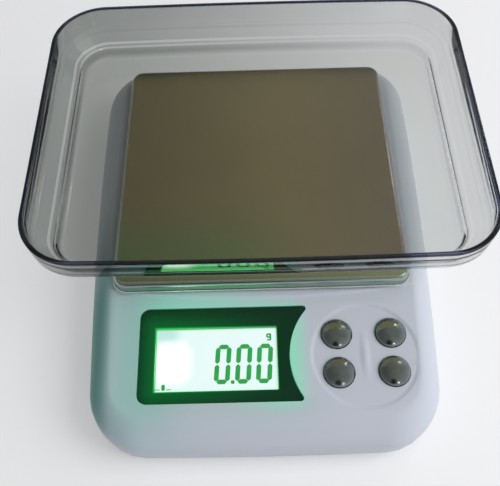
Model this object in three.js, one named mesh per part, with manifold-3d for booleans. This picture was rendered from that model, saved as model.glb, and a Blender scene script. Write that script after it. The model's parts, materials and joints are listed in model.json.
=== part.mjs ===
// Precision laboratory scale: moulded body, display panel, dome keys, steel pan and smoked tray.
// Millimetres, +Z up, front towards -Y. Until the last shift, X = Y = 0 is the middle of the pan.
import * as THREE from "three";
import { mergeVertices } from "three/addons/utils/BufferGeometryUtils.js";
import Module from "manifold-3d";

const wasm = await Module();
wasm.setup();

// Clearances
const gap = 0.3; // between two pieces that touch
const overrun = 6; // how far a cutter runs past what it cuts
const sameLine = 0.01; // points this close to a crease lie on it

// Facets
const cornerSteps = 6;
const sideSteps = 2;
const roundSteps = 24;
const smallSteps = 12;
const tongueSteps = 30;

// Body, seen from above
const bodyWidth = 160.8;
const bodyFront = 131.5; // middle of the pan to the front of the body
const bodyBack = 78.5; // middle of the pan to the back of the body
const bodyCorner = 25;
const bodyTaper = 7; // how much each side has drawn in at the very front
const bodyWidestY = 40;
const frontBow = 1.2;

// Body heights
const footHeight = 3; // table to the underside of the base
const partingZ = 7; // joint line between base and upper housing
const waistZ = 12; // the body is widest here
const shoulderZ = 16; // the shoulders start to lean in here
const deckZ = 32; // flat deck round the pan
const shoulderRun = 11.5; // how far in the deck's edge lies
const housingWall = 2.4;
const tuck = 0.6; // the side walls lean in by this much at the joint line
const waistLean = 0.3;
const baseEdge = 2.6; // rounding under the base

// The shoulder from its foot to the deck, as shares of its run and of its rise
const shoulderShares = [
  [0.05, 0.18],
  [0.17, 0.42],
  [0.38, 0.68],
  [0.63, 0.87],
  [0.83, 0.96],
  [1, 1],
];

// Display panel: a plane that falls towards the front from a straight crease across the deck
const panelEdge = 60; // middle of the pan to the crease
const panelTilt = 5.6; // degrees
const deckBow = 9.3; // the deck's front edge bulges this far over the crease
const deckBowHalfWidth = 80; // half axes of the ellipse that edge follows
const deckBowDepth = 12;
const deckStepRound = 0.7;
const deckStepChamfer = 0.25;

// Key pad, along the panel: a shallow round dish with a soft ridge down its middle
const padEdge = 37.4; // side of the body to the middle of the pad
const padDown = 35.6; // crease to the middle of the pad
const padRadius = 23.2;
const padDepth = 0.9;
const padSlope = 1.8;
const ridgeLength = 29;
const ridgeWidth = 5.2;
const ridgeHeight = 0.8;

// Keys
const keySpacingX = 23.1;
const keySpacingY = 16.9;
const keysBack = 1.1; // the keys' middle lies this far behind the pad's
const keyRadius = 6.5;
const keyRise = 0.5; // straight side above the panel
const domeHeight = 2.4;
const domeSteps = 5;
const keyFlange = 0.9; // how far the flange reaches past the cap
const keyFlangeThickness = 1;
const keyStemRadius = 2.4;
const keyStemLength = 0.9;
const keyTravel = 0.8;
const keyRound = 0.5;

// Display window, along the panel. Its right side is an arc round the key pad
const windowEdge = 27.6; // side of the body to the window
const windowHeight = 41.4;
const windowTop = 13; // crease to the window's back edge
const windowArc = 32.2; // radius of the arc round the pad
const windowCorner = 4;
const windowTip = 1.4;
const windowThickness = 1.5;
const windowArcSteps = 10;

// Liquid crystal display and what lies behind it, along the panel
const lcdLeftMargin = 6.9; // window beyond the view
const lcdRightMargin = 4.9;
const lcdDown = 35.7; // crease to the middle of the display
const lcdViewHeight = 27.6;
const lcdMargin = 3.2; // glass beyond the view
const lcdThickness = 2.2;
const lightGuideThickness = 3;
const frameWall = 1.6;
const stripWidth = 2.2;
const stripShare = 0.92; // contact strip's length as a share of the glass

// Main board
const boardLeftEdge = 22.6; // side of the body to the board
const boardRightEdge = 14.4;
const boardHeight = 43;
const boardThickness = 1.6;
const boardPostRadius = 2.6;
const boardPostInset = 3.2;
const chipRadius = 7;
const chipHeight = 1.6;
const socketWidth = 10;
const socketDepth = 5;
const socketHeight = 4;

// Key mat
const matMargin = 1.2; // mat beyond its domes
const matThickness = 1;
const matDomeFoot = 4;
const matDomeTop = 3;

// Weighing pan, a shallow pressed lid with a rolled hem
const panSize = 130;
const panRise = 6; // deck to the pan's face
const panSheet = 0.7;
const panDepth = 4.8;
const panCorner = 6;
const panRoll = 2.2; // rounding of the upper edge
const panHem = 0.6; // how far the hem stands out
const panFlare = 0.3;

// Pan carrier under the pan
const carrierMargin = 3.2; // pan's inner wall to the carrier's edge
const carrierPlate = 2.2;
const carrierCorner = 5;
const carrierRibDepth = 1.4;
const carrierRibWidth = 1.6;
const pressTravel = 0.5; // how far the platform gives before its stops meet the deck
const stopGap = 0.7;
const stopRadius = 3;
const stopInset = 12;
const bossWidth = 22;
const bossLength = 20;
const deckHoleMargin = 3;

// Load cell, a bar with two bores joined by a slot
const cellWidth = 12.7;
const cellHeight = 12.7;
const cellLength = 80;
const cellDrop = 8; // deck to the top of the bar
const cellScrewInset = 6; // end of the bar to the outer screw
const cellScrewPitch = 9;
const cellBore = 4.6;
const cellBorePitch = 17;
const cellSlot = 2.4;
const spacerThickness = 2;
const spacerLength = 21;
const pedestalMargin = 3;

// Screws
const screwRadius = 1.8;
const screwHeadRadius = 3.3;
const screwHeadHeight = 2;
const screwBite = 8; // how deep a screw goes into the load cell
const smallScrewRadius = 1.2;
const smallHeadRadius = 2.3;
const smallHeadHeight = 1.2;
const smallScrewLength = 5;

// Housing pillars and their screws
const pillarEdge = 14.4; // side of the body to a pillar
const pillarBehindBay = 3.3; // bay's outer wall to the back pillars
const pillarRadius = 4.5;
const pillarMeetZ = 12;
const pillarSeat = 5; // underside of the base to the screw head's seat
const pillarScrewLength = 14;

// Base
const baseFloor = 2.2;
const lipHeight = 3.4;
const lipThickness = 1.6;
const ribThickness = 1.4;
const ribHeight = 2.5;

// Feet
const footFrontEdge = 24.4; // side of the body to a front foot
const footFrontInset = 19.5;
const footBackEdge = 20.4;
const footBackInset = 20.5;
const footRadius = 6.5;
const footSeat = 1;
const footChamfer = 0.8;

// Battery bay, open downwards, with two AA cells side by side
const bayEdge = 9.45; // side of the body to the bay's outer wall
const batteryRadius = 7.1;
const batteryLength = 49.2;
const batteryNub = 1.2;
const batteryNubRadius = 2.7;
const batteryPlay = 0.7;
const baySpring = 3.9;
const bayWall = 1.8;
const contactThickness = 0.5;
const contactBump = 0.5;
const contactWidth = 11;
const contactHeight = 10;
const springRadius = 4;
const springTipRadius = 2.6;
const coverLedge = 1.6; // how far the cover's edge lies over the bay's wall
const coverThickness = 1.8;
const coverSink = 0.2; // the cover lies this much above the base's underside
const latchWidth = 10;
const latchHeight = 4.5;
const latchThickness = 1.1;
const notchRadius = 6;
const notchDepth = 1.1;

// Weighing tray, a smoked dish that stands on the pan
const trayWidth = 203;
const trayLength = 157.2;
const trayBackset = 8.6; // the tray stands this far behind the pan's middle
const trayHeight = 26;
const trayCorner = 25;
const trayWall = 2.2;
const trayFloor = 2;
const trayBow = 1.4;
const traySteps = 8;
const trayBand = 11.8; // height of the upright band under the rim
const trayBandLean = 0.9;
const trayLedgeDrop = 7.4; // the sloping ledge from the band down to the lower wall
const trayLedgeRun = 8.4;
const trayLedgeShares = [[0.16, 0.26], [0.84, 0.88]]; // run and drop along the ledge
const trayWallLean = 0.9;
const trayFoot = 2.4; // height of the curve between wall and floor
const trayFootRun = 2.2;
const trayRimRound = 0.7;

// Leads inside the body
const leadRadius = 0.8;
const leadSteps = 14;
const leadSides = 6;
const leadPair = 3.4; // middle to middle of the battery leads where they run side by side
const leadLowZ = 10.5; // the leads dip to this height before they rise to the board
const leadTurn = 12; // the board's back edge to the turn of the leads
const leadRun = 16; // from that turn to where the leads sink from the bay's roof
const leadCrossShare = 0.5; // of the bay's distance from the middle
const leadCrossZ = 17;
const cellLeadY = -20; // where the gauge lead leaves the load cell
const cellLeadBendX = 12;
const cellLeadBendY = -36;

// Solder tabs on the battery contacts, up through slots in the bay's roof
const tabWidth = 3;
const tabRise = 2.6; // above the roof

// Shares used by several curves
const halfShare = 0.5;
const threeQuarterShare = 0.75;
const quarterShare = 0.25;
const eighthShare = 0.125;

const degrees = Math.PI / 180;
const tilt = panelTilt * degrees;
const tiltSlope = Math.tan(tilt);

// Heights and places that follow from the sizes above
const bodyHalf = bodyWidth / 2;
const padX = bodyHalf - padEdge;
const windowLeft = windowEdge - bodyHalf;
const lcdViewLeft = windowLeft + lcdLeftMargin;
const lcdViewWidth = padX - windowArc - lcdRightMargin - lcdViewLeft;
const lcdX = lcdViewLeft + lcdViewWidth / 2;
const boardLeft = boardLeftEdge - bodyHalf;
const boardRight = bodyHalf - boardRightEdge;
const pillarX = bodyHalf - pillarEdge;
const footX = bodyHalf - footFrontEdge;
const footFrontY = footFrontInset - bodyFront;
const footBackX = bodyHalf - footBackEdge;
const footBackY = bodyBack - footBackInset;
const panTopZ = deckZ + panRise;
const cellTopZ = deckZ - cellDrop;
const leadDipY = boardHeight / 2 - lcdDown - panelEdge;
const leadTurnY = leadDipY + leadTurn;
const leadCrossY = leadTurnY + leadRun;
const baseTopZ = partingZ - gap;
const floorTopZ = footHeight + baseFloor;
const panUnderZ = panTopZ - panSheet;
const panHemZ = panTopZ - panDepth;
const carrierTopZ = panUnderZ - gap;
const carrierUnderZ = carrierTopZ - carrierPlate;
const cellUnderZ = cellTopZ - cellHeight;
const freeSpacerZ = cellTopZ + gap;
const fixedSpacerZ = cellUnderZ - gap - spacerThickness;
const pedestalTopZ = fixedSpacerZ - gap;
const cellEndY = cellLength / 2;
const screwYs = [cellEndY - cellScrewInset, cellEndY - cellScrewInset - cellScrewPitch];
const trayZ = panTopZ + gap;
const boardMiddleX = (boardLeft + boardRight) / 2;
const lcdTopW = -(housingWall + gap);
const guideTopW = lcdTopW - lcdThickness - gap;
const boardTopW = guideTopW - lightGuideThickness - gap;
const glassWidth = lcdViewWidth + 2 * lcdMargin;
const glassHeight = lcdViewHeight + 2 * lcdMargin + stripWidth + gap;
const glassShift = (stripWidth + gap) / 2; // the glass reaches further back, over the contact strip
const keyFlangeTopW = -(housingWall + gap);
const keyStemEndW = keyFlangeTopW - keyFlangeThickness - keyStemLength;
const bayWidth = 4 * batteryRadius + 3 * batteryPlay;
const bayLength =
  batteryLength + batteryNub + baySpring + contactBump + 2 * contactThickness + 4 * gap;
const coverWidth = bayWidth + 2 * coverLedge;
const coverLength = bayLength + 2 * coverLedge;
const towerWidth = coverWidth + 2 * (gap + bayWall);
const towerLength = coverLength + 2 * (gap + bayWall);
const bayX = bayEdge + towerWidth / 2 - bodyHalf;
const leadCrossX = bayX * leadCrossShare;
const pillarFrontY = -panelEdge;
const pillarBackY = towerLength / 2 + pillarBehindBay + pillarRadius;
const coverUnderZ = footHeight + coverSink;
const coverTopZ = coverUnderZ + coverThickness;
const bayRoofZ = coverTopZ + gap + 2 * batteryRadius + batteryPlay;
const batteryZ = coverTopZ + gap + batteryRadius;
const batteryApart = batteryRadius + batteryPlay / 2;
const tabTopZ = bayRoofZ + bayWall + tabRise;
const tabY = bayLength / 2 - gap - contactThickness / 2;
const socketY = -lcdDown + boardHeight / 2 - socketDepth;
const socketW = boardTopW - boardThickness - socketHeight;

// Materials
function finish(color, roughness, metalness, extra = {}) {
  return new THREE.MeshStandardMaterial({ color, roughness, metalness, ...extra });
}

const whitePlastic = finish(0xd9dbe3, 0.34, 0);
const darkWindow = finish(0x0b1d12, 0.12, 0);
const chrome = finish(0xc9cac6, 0.06, 1);
const steel = finish(0x9a958a, 0.3, 1);
const smokedPlastic = finish(0x6f7370, 0.05, 0, { transparent: true, opacity: 0.35 });
const blackRubber = finish(0x1b1b1d, 0.8, 0);
const greyRubber = finish(0x8f9294, 0.75, 0);
const aluminium = finish(0xb8babd, 0.38, 1);
const zincSteel = finish(0xaaaaa6, 0.35, 1);
const boardGreen = finish(0x1f5a34, 0.5, 0);
const displayGlass = finish(0xbfe8c9, 0.1, 0);
const clearGuide = finish(0xe8f2ea, 0.2, 0);
const cellSleeve = finish(0x3b4046, 0.4, 0.2);
const redJacket = finish(0x8a1f1f, 0.5, 0);
const blackJacket = finish(0x1a1a1c, 0.5, 0);
const greyJacket = finish(0x6d7074, 0.5, 0);

// Manifold helpers
function toSolid(geometry) {
  const bare = geometry.clone();
  bare.deleteAttribute("normal");
  bare.deleteAttribute("uv");
  const merged = mergeVertices(bare);
  const mesh = new wasm.Mesh({
    numProp: 3,
    vertProperties: new Float32Array(merged.attributes.position.array),
    triVerts: new Uint32Array(merged.index.array),
  });
  return new wasm.Manifold(mesh);
}

function toGeometry(solid) {
  const mesh = solid.getMesh();
  const geometry = new THREE.BufferGeometry();
  geometry.setAttribute("position", new THREE.BufferAttribute(mesh.vertProperties, 3));
  geometry.setIndex(new THREE.BufferAttribute(mesh.triVerts, 1));
  geometry.computeVertexNormals();
  return geometry;
}

function join(first, ...others) {
  return others.reduce((sum, other) => sum.add(other), first);
}

function cut(body, ...tools) {
  return tools.reduce((rest, tool) => rest.subtract(tool), body);
}

// Simple solids, each placed by its middle in X and Y and by its lower and upper height
function block(width, length, lowZ, highZ, x = 0, y = 0) {
  const geometry = new THREE.BoxGeometry(width, length, highZ - lowZ);
  geometry.translate(x, y, (lowZ + highZ) / 2);
  return geometry;
}

function post(radius, lowZ, highZ, x = 0, y = 0, topRadius = radius, steps = smallSteps) {
  const geometry = new THREE.CylinderGeometry(topRadius, radius, highZ - lowZ, steps);
  geometry.rotateX(90 * degrees);
  geometry.translate(x, y, (lowZ + highZ) / 2);
  return geometry;
}

// A disc or rod that lies along Y
function rod(radius, fromY, toY, x, z, endRadius = radius, steps = smallSteps) {
  const geometry = new THREE.CylinderGeometry(endRadius, radius, toY - fromY, steps);
  geometry.translate(x, (fromY + toY) / 2, z);
  return geometry;
}

// A profile of [radius, height] pairs turned about Z
function turned(profile, steps = roundSteps) {
  const points = profile.map(([radius, height]) => new THREE.Vector2(radius, height));
  const geometry = new THREE.LatheGeometry(points, steps);
  geometry.rotateX(90 * degrees);
  return geometry;
}

// A flat outline with a thickness, from lowZ to highZ
function plate(shape, lowZ, highZ, curveSegments = cornerSteps) {
  const geometry = new THREE.ExtrudeGeometry(shape, {
    depth: highZ - lowZ,
    bevelEnabled: false,
    curveSegments,
  });
  geometry.translate(0, 0, lowZ);
  return geometry;
}

function roundedShape(width, length, radius) {
  const x = width / 2;
  const y = length / 2;
  const shape = new THREE.Shape();
  shape.moveTo(x - radius, -y);
  shape.absarc(x - radius, -y + radius, radius, -90 * degrees, 0);
  shape.absarc(x - radius, y - radius, radius, 0, 90 * degrees);
  shape.absarc(-x + radius, y - radius, radius, 90 * degrees, 180 * degrees);
  shape.absarc(-x + radius, -y + radius, radius, 180 * degrees, 270 * degrees);
  return shape;
}

// A surface through closed rings of points, with a flat cap at either end.
// The rings run anticlockwise seen from above, and a cap may be creased along a line of equal Y.
function loft(rings, creaseY = null) {
  const count = rings[0].length;
  const positions = rings.flat().flatMap((point) => [point.x, point.y, point.z]);
  const index = [];
  for (let level = 0; level < rings.length - 1; level += 1) {
    for (let i = 0; i < count; i += 1) {
      const a = level * count + i;
      const b = level * count + ((i + 1) % count);
      index.push(a, b, b + count, a, b + count, a + count);
    }
  }
  capTriangles(rings[0], creaseY).forEach(([a, b, c]) => index.push(a, c, b));
  const start = (rings.length - 1) * count;
  capTriangles(rings[rings.length - 1], creaseY).forEach(([a, b, c]) =>
    index.push(start + a, start + b, start + c),
  );
  const geometry = new THREE.BufferGeometry();
  geometry.setAttribute("position", new THREE.Float32BufferAttribute(positions, 3));
  geometry.setIndex(index);
  geometry.computeVertexNormals();
  return geometry;
}

function capTriangles(ring, creaseY) {
  const all = ring.map((point, i) => i);
  const parts =
    creaseY === null
      ? [all]
      : [
          all.filter((i) => ring[i].y > creaseY - sameLine),
          all.filter((i) => ring[i].y < creaseY + sameLine),
        ];
  return parts.flatMap((part) => {
    const outline = part.map((i) => new THREE.Vector2(ring[i].x, ring[i].y));
    return THREE.ShapeUtils.triangulateShape(outline, []).map((face) => face.map((i) => part[i]));
  });
}

// A rounded rectangle as a ring of flat points, with extra stops along its long sides
function roundedRing(halfWidth, frontY, backY, radius, stops, steps = cornerSteps) {
  const points = [];
  const arc = (x, y, from) => {
    for (let i = 0; i <= steps; i += 1) {
      const angle = (from + (90 * i) / steps) * degrees;
      points.push(new THREE.Vector2(x + radius * Math.cos(angle), y + radius * Math.sin(angle)));
    }
  };
  stops.forEach((y) => points.push(new THREE.Vector2(halfWidth, y)));
  arc(halfWidth - radius, backY - radius, 0);
  for (let i = 1; i < 2 * sideSteps; i += 1) {
    const x = (halfWidth - radius) * (1 - i / sideSteps);
    points.push(new THREE.Vector2(x, backY));
  }
  arc(-halfWidth + radius, backY - radius, 90);
  [...stops].reverse().forEach((y) => points.push(new THREE.Vector2(-halfWidth, y)));
  arc(-halfWidth + radius, frontY + radius, 180);
  for (let i = 1; i < 2 * sideSteps; i += 1) {
    const x = (halfWidth - radius) * (i / sideSteps - 1);
    points.push(new THREE.Vector2(x, frontY));
  }
  arc(halfWidth - radius, frontY + radius, 270);
  return points;
}

// The body's outline drawn in by an inset, with its tapered sides and bowed front
const bodyStops = [
  -panelEdge - (bodyFront - bodyCorner - panelEdge) * halfShare,
  -panelEdge,
  -panelEdge * halfShare,
  0,
  (bodyBack - bodyCorner) * halfShare,
];

function bodyOutline(inset) {
  const radius = Math.max(bodyCorner - inset, housingWall);
  const ring = roundedRing(bodyHalf - inset, inset - bodyFront, bodyBack - inset, radius, bodyStops);
  return ring.map((point) => {
    const away = (bodyWidestY - point.y) / (bodyWidestY + bodyFront);
    const drawIn = 1 - (bodyTaper / bodyHalf) * away * away;
    const forward = Math.max(0, -point.y - panelEdge) / (bodyFront - panelEdge);
    const across = point.x / bodyHalf;
    return new THREE.Vector2(point.x * drawIn, point.y + frontBow * across * across * forward);
  });
}

// Height of the deck or of the panel above a place
function topAt(y) {
  return deckZ + Math.min(0, y + panelEdge) * tiltSlope;
}

function bodyRing(inset, heightAt) {
  return bodyOutline(inset).map(
    (point) => new THREE.Vector3(point.x, point.y, heightAt(point.y)),
  );
}

// The upper body's outer form, or its hollow when drawn in by the wall
function bodyForm(wall, lowZ, heightAt = topAt) {
  const rings = [
    bodyRing(tuck + wall, () => lowZ),
    bodyRing(wall, () => waistZ),
    bodyRing(waistLean + wall, () => shoulderZ),
  ];
  const steps = wall > 0 ? shoulderShares.filter((pair, i) => i % 2 === 1) : shoulderShares;
  steps.forEach(([runShare, riseShare]) => {
    const inset = waistLean + (shoulderRun - waistLean) * runShare + wall;
    rings.push(
      bodyRing(inset, (y) => shoulderZ + (heightAt(y) - wall - shoulderZ) * riseShare),
    );
  });
  return toSolid(loft(rings, -panelEdge));
}

// Panel frame: X across, Y up the panel from the crease, Z out of it
const panelMatrix = new THREE.Matrix4()
  .makeTranslation(0, -panelEdge, deckZ)
  .multiply(new THREE.Matrix4().makeRotationX(tilt));

function onPanel(geometry) {
  return toSolid(geometry.clone().applyMatrix4(panelMatrix));
}

const keyPlaces = [
  ["key_left_back", -1, 1],
  ["key_right_back", 1, 1],
  ["key_left_front", -1, -1],
  ["key_right_front", 1, -1],
].map(([name, sideX, sideY]) => ({
  name,
  x: padX + (sideX * keySpacingX) / 2,
  y: keysBack - padDown + (sideY * keySpacingY) / 2,
}));

// The window's outline, grown by a margin for the recess that holds it
function windowShape(margin) {
  const left = windowLeft - margin;
  const top = -windowTop + margin;
  const bottom = -windowTop - windowHeight - margin;
  const radius = windowArc - margin;
  const corner = windowCorner + margin;
  const tipAt = (y, side) => {
    const lean = Math.asin((y + side * windowTip + padDown) / (radius + windowTip));
    return padX - (radius + windowTip) * Math.cos(lean);
  };
  const topTipX = tipAt(top - windowTip, 0);
  const bottomTipX = tipAt(bottom + windowTip, 0);
  const topAngle = Math.atan2(top - windowTip + padDown, topTipX - padX);
  const bottomAngle = Math.atan2(bottom + windowTip + padDown, bottomTipX - padX);
  const shape = new THREE.Shape();
  shape.moveTo(left + corner, bottom);
  shape.lineTo(bottomTipX, bottom);
  shape.absarc(bottomTipX, bottom + windowTip, windowTip, -90 * degrees, bottomAngle + Math.PI);
  shape.absarc(padX, -padDown, radius, bottomAngle + 2 * Math.PI, topAngle, true);
  shape.absarc(topTipX, top - windowTip, windowTip, topAngle - Math.PI, 90 * degrees);
  shape.lineTo(left + corner, top);
  shape.absarc(left + corner, top - corner, corner, 90 * degrees, 180 * degrees);
  shape.absarc(left + corner, bottom + corner, corner, 180 * degrees, 270 * degrees);
  return shape;
}

// The deck's bulging front edge: the flat deck carried on as far as an ellipse
function deckTongue() {
  const middleY = deckBowDepth - deckBow - panelEdge;
  const ring = (shrink, z) => {
    const points = [];
    for (let i = 0; i <= tongueSteps; i += 1) {
      const angle = (180 + (180 * i) / tongueSteps) * degrees;
      points.push(
        new THREE.Vector3(
          (deckBowHalfWidth - shrink) * Math.cos(angle),
          middleY + (deckBowDepth - shrink) * Math.sin(angle),
          z,
        ),
      );
    }
    return points;
  };
  const edge = toSolid(
    loft([
      ring(0, partingZ + overrun),
      ring(0, deckZ - deckStepRound),
      ring(deckStepChamfer, deckZ - deckStepChamfer),
      ring(deckStepRound, deckZ),
      ring(deckStepRound, deckZ + overrun),
    ]),
  );
  const flatForm = bodyForm(0, partingZ, () => deckZ);
  const hollow = bodyForm(housingWall, partingZ - overrun);
  return cut(flatForm.intersect(edge), hollow);
}

// The round dish of the key pad, as the solid that is taken away
function padDish() {
  const floorRadius = padRadius - padSlope;
  const dish = turned(
    [
      [0, -padDepth],
      [floorRadius, -padDepth],
      [floorRadius + padSlope * halfShare, -padDepth * threeQuarterShare],
      [padRadius - padSlope * eighthShare, -padDepth * eighthShare],
      [padRadius + padSlope * quarterShare, gap],
      [padRadius + padSlope * quarterShare, overrun],
      [0, overrun],
    ],
    2 * roundSteps,
  );
  dish.translate(padX, -padDown, 0);
  return onPanel(dish);
}

// The soft ridge between the two columns of keys
function padRidge() {
  const ridge = new THREE.SphereGeometry(ridgeWidth / 2, smallSteps, smallSteps);
  ridge.scale(1, ridgeLength / ridgeWidth, (2 * ridgeHeight) / ridgeWidth);
  ridge.translate(padX, -padDown, -padDepth);
  return onPanel(ridge);
}

const boardPosts = [
  [boardLeft + boardPostInset, 1],
  [boardRight - boardPostInset, 1],
  [boardLeft + boardPostInset, -1],
  [boardRight - boardPostInset, -1],
].map(([x, side]) => ({ x, y: -lcdDown + side * (boardHeight / 2 - boardPostInset) }));

const pillars = [
  [-pillarX, pillarFrontY],
  [pillarX, pillarFrontY],
  [-pillarX, pillarBackY],
  [pillarX, pillarBackY],
];

function upperHousing() {
  const outer = bodyForm(0, partingZ);
  const hollow = bodyForm(housingWall, partingZ - overrun);
  let housing = cut(outer, hollow);
  housing = join(housing, deckTongue());
  housing = cut(housing, padDish());
  housing = join(housing, padRidge());

  const inside = pillars.map(([x, y]) =>
    toSolid(post(pillarRadius, pillarMeetZ + gap, deckZ, x, y)).intersect(outer),
  );
  const boardTops = boardPosts.map(({ x, y }) =>
    onPanel(post(boardPostRadius, boardTopW + gap, -housingWall * halfShare, x, y)),
  );
  housing = join(housing, ...inside, ...boardTops);

  const keyHoles = keyPlaces.map(({ x, y }) =>
    onPanel(post(keyRadius + gap, -housingWall - padDepth, overrun, x, y, keyRadius + gap, roundSteps)),
  );
  const windowRecess = onPanel(plate(windowShape(gap), -windowThickness - gap, overrun, windowArcSteps));
  const lcdOpening = onPanel(
    block(lcdViewWidth, lcdViewHeight, -housingWall - overrun, overrun, lcdX, -lcdDown),
  );
  const deckHole = toSolid(
    block(
      bossWidth + 2 * deckHoleMargin,
      bossLength + 2 * deckHoleMargin,
      deckZ - housingWall - overrun,
      deckZ + overrun,
      0,
      (screwYs[0] + screwYs[1]) / 2,
    ),
  );
  const screwHoles = pillars.map(([x, y]) =>
    toSolid(
      post(
        smallScrewRadius + gap,
        pillarMeetZ - overrun,
        footHeight + pillarSeat + pillarScrewLength + gap,
        x,
        y,
      ),
    ),
  );
  const boardHoleTopW = boardTopW - boardThickness + smallScrewLength + gap;
  const boardHoles = boardPosts.map(({ x, y }) =>
    onPanel(post(smallScrewRadius + gap, boardTopW - overrun, boardHoleTopW, x, y)),
  );
  return cut(housing, ...keyHoles, windowRecess, lcdOpening, deckHole, ...screwHoles, ...boardHoles);
}

function baseHousing() {
  const rim = (inset, z) => bodyRing(inset, () => z);
  const bowl = toSolid(
    loft([
      rim(tuck + baseEdge, footHeight),
      rim(tuck + baseEdge * quarterShare, footHeight + baseEdge * quarterShare),
      rim(tuck, footHeight + baseEdge),
      rim(tuck, baseTopZ),
    ]),
  );
  const bowlHollow = toSolid(
    loft([rim(tuck + housingWall, floorTopZ), rim(tuck + housingWall, baseTopZ + overrun)]),
  );
  const lipOuter = tuck + housingWall + gap;
  const lip = cut(
    toSolid(loft([rim(lipOuter, floorTopZ - baseFloor * halfShare), rim(lipOuter, partingZ + lipHeight)])),
    toSolid(
      loft([
        rim(lipOuter + lipThickness, floorTopZ - overrun),
        rim(lipOuter + lipThickness, partingZ + lipHeight + overrun),
      ]),
    ),
  );
  const pedestalY = -(screwYs[0] + screwYs[1]) / 2;
  const pedestal = toSolid(
    block(
      cellWidth + 2 * pedestalMargin,
      spacerLength + 2 * pedestalMargin,
      floorTopZ - baseFloor * halfShare,
      pedestalTopZ,
      0,
      pedestalY,
    ),
  );
  const ribs = [-1, 1].map((side) =>
    toSolid(
      block(
        ribThickness,
        bodyFront + bodyBack - 2 * bodyCorner,
        floorTopZ - baseFloor * halfShare,
        floorTopZ + ribHeight,
        side * (cellWidth / 2 + pedestalMargin),
        (bodyBack - bodyFront) / 2,
      ),
    ),
  );
  const columns = pillars.map(([x, y]) =>
    toSolid(post(pillarRadius, floorTopZ - baseFloor * halfShare, pillarMeetZ, x, y)),
  );
  const tower = toSolid(
    block(
      towerWidth,
      towerLength,
      footHeight + baseFloor * halfShare,
      bayRoofZ + bayWall,
      bayX,
    ),
  );
  const body = join(cut(bowl, bowlHollow), lip, pedestal, ...ribs, ...columns, tower);

  const bay = toSolid(block(bayWidth, bayLength, footHeight - overrun, bayRoofZ, bayX));
  const coverSeat = toSolid(
    block(coverWidth + 2 * gap, coverLength + 2 * gap, footHeight - overrun, coverTopZ + gap, bayX),
  );
  const latchPocket = toSolid(
    block(
      latchWidth + 2 * gap,
      coverLedge + 2 * gap + latchThickness,
      footHeight,
      coverTopZ + latchHeight + gap,
      bayX,
      coverLength / 2 - latchThickness + gap,
    ),
  );
  const tabSlots = [-1, 1].map((side) =>
    toSolid(
      block(
        tabWidth + 2 * gap,
        contactThickness + 2 * gap,
        batteryZ,
        tabTopZ + overrun,
        bayX + side * batteryApart,
        tabY,
      ),
    ),
  );
  const notch = toSolid(
    post(notchRadius, footHeight - overrun, footHeight + notchDepth, bayX, coverLength / 2 + gap),
  );
  const seats = footPlaces().map(([x, y]) =>
    toSolid(post(footRadius + gap, footHeight - overrun, footHeight + footSeat + gap, x, y)),
  );
  const pillarBores = pillars.flatMap(([x, y]) => [
    toSolid(post(screwHeadRadius + gap, footHeight - overrun, footHeight + pillarSeat, x, y)),
    toSolid(post(smallScrewRadius + gap, footHeight - overrun, pillarMeetZ + overrun, x, y)),
  ]);
  const cellBores = screwYs.flatMap((y) => [
    toSolid(post(screwRadius + gap, footHeight - overrun, pedestalTopZ + overrun, 0, -y)),
    toSolid(
      post(screwHeadRadius + gap, footHeight - overrun, footHeight + screwHeadHeight + gap, 0, -y),
    ),
  ]);
  return cut(body, bay, coverSeat, latchPocket, ...tabSlots, notch, ...seats, ...pillarBores, ...cellBores);
}

function footPlaces() {
  return [
    [-footX, footFrontY],
    [footX, footFrontY],
    [-footBackX, footBackY],
    [footBackX, footBackY],
  ];
}

function foot() {
  return turned(
    [
      [0, 0],
      [footRadius - footChamfer, 0],
      [footRadius, footChamfer],
      [footRadius, footHeight + footSeat],
      [0, footHeight + footSeat],
    ],
    smallSteps,
  );
}

// A screw that hangs down from its head, with the underside of the head at height 0
function screw(radius, length, headRadius, headHeight) {
  return turned(
    [
      [0, -length],
      [radius, -length],
      [radius, 0],
      [headRadius, 0],
      [headRadius, headHeight * halfShare],
      [headRadius * threeQuarterShare, headHeight],
      [0, headHeight],
    ],
    smallSteps,
  );
}

// A key: chromed dome on a flanged cap with a stem, about the panel's surface
function dome() {
  const domeRadius = (keyRadius * keyRadius + domeHeight * domeHeight) / (2 * domeHeight);
  const spread = Math.asin(keyRadius / domeRadius);
  const profile = [
    [0, keyStemEndW],
    [keyStemRadius, keyStemEndW],
    [keyStemRadius, keyFlangeTopW - keyFlangeThickness],
    [keyRadius + keyFlange, keyFlangeTopW - keyFlangeThickness],
    [keyRadius + keyFlange, keyFlangeTopW],
    [keyRadius, keyFlangeTopW],
    [keyRadius, keyRise - keyRound * halfShare],
  ];
  for (let i = 1; i < domeSteps; i += 1) {
    const angle = spread * (1 - i / domeSteps);
    const height = keyRise + domeHeight - domeRadius * (1 - Math.cos(angle));
    profile.push([domeRadius * Math.sin(angle), height]);
  }
  profile.push([0, keyRise + domeHeight]);
  return turned(profile);
}

function keyMat() {
  const sheetLow = boardTopW + gap;
  const sheetHigh = sheetLow + matThickness;
  const width = keySpacingX + 2 * (matDomeFoot + matMargin);
  const length = keySpacingY + 2 * (matDomeFoot + matMargin);
  const sheet = toSolid(
    plate(roundedShape(width, length, matMargin), sheetLow, sheetHigh).translate(padX, -padDown, 0),
  );
  const domes = keyPlaces.map(({ x, y }) =>
    toSolid(post(matDomeFoot, sheetLow + matThickness * halfShare, keyStemEndW - gap, x, y, matDomeTop)),
  );
  return join(sheet, ...domes);
}

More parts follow.
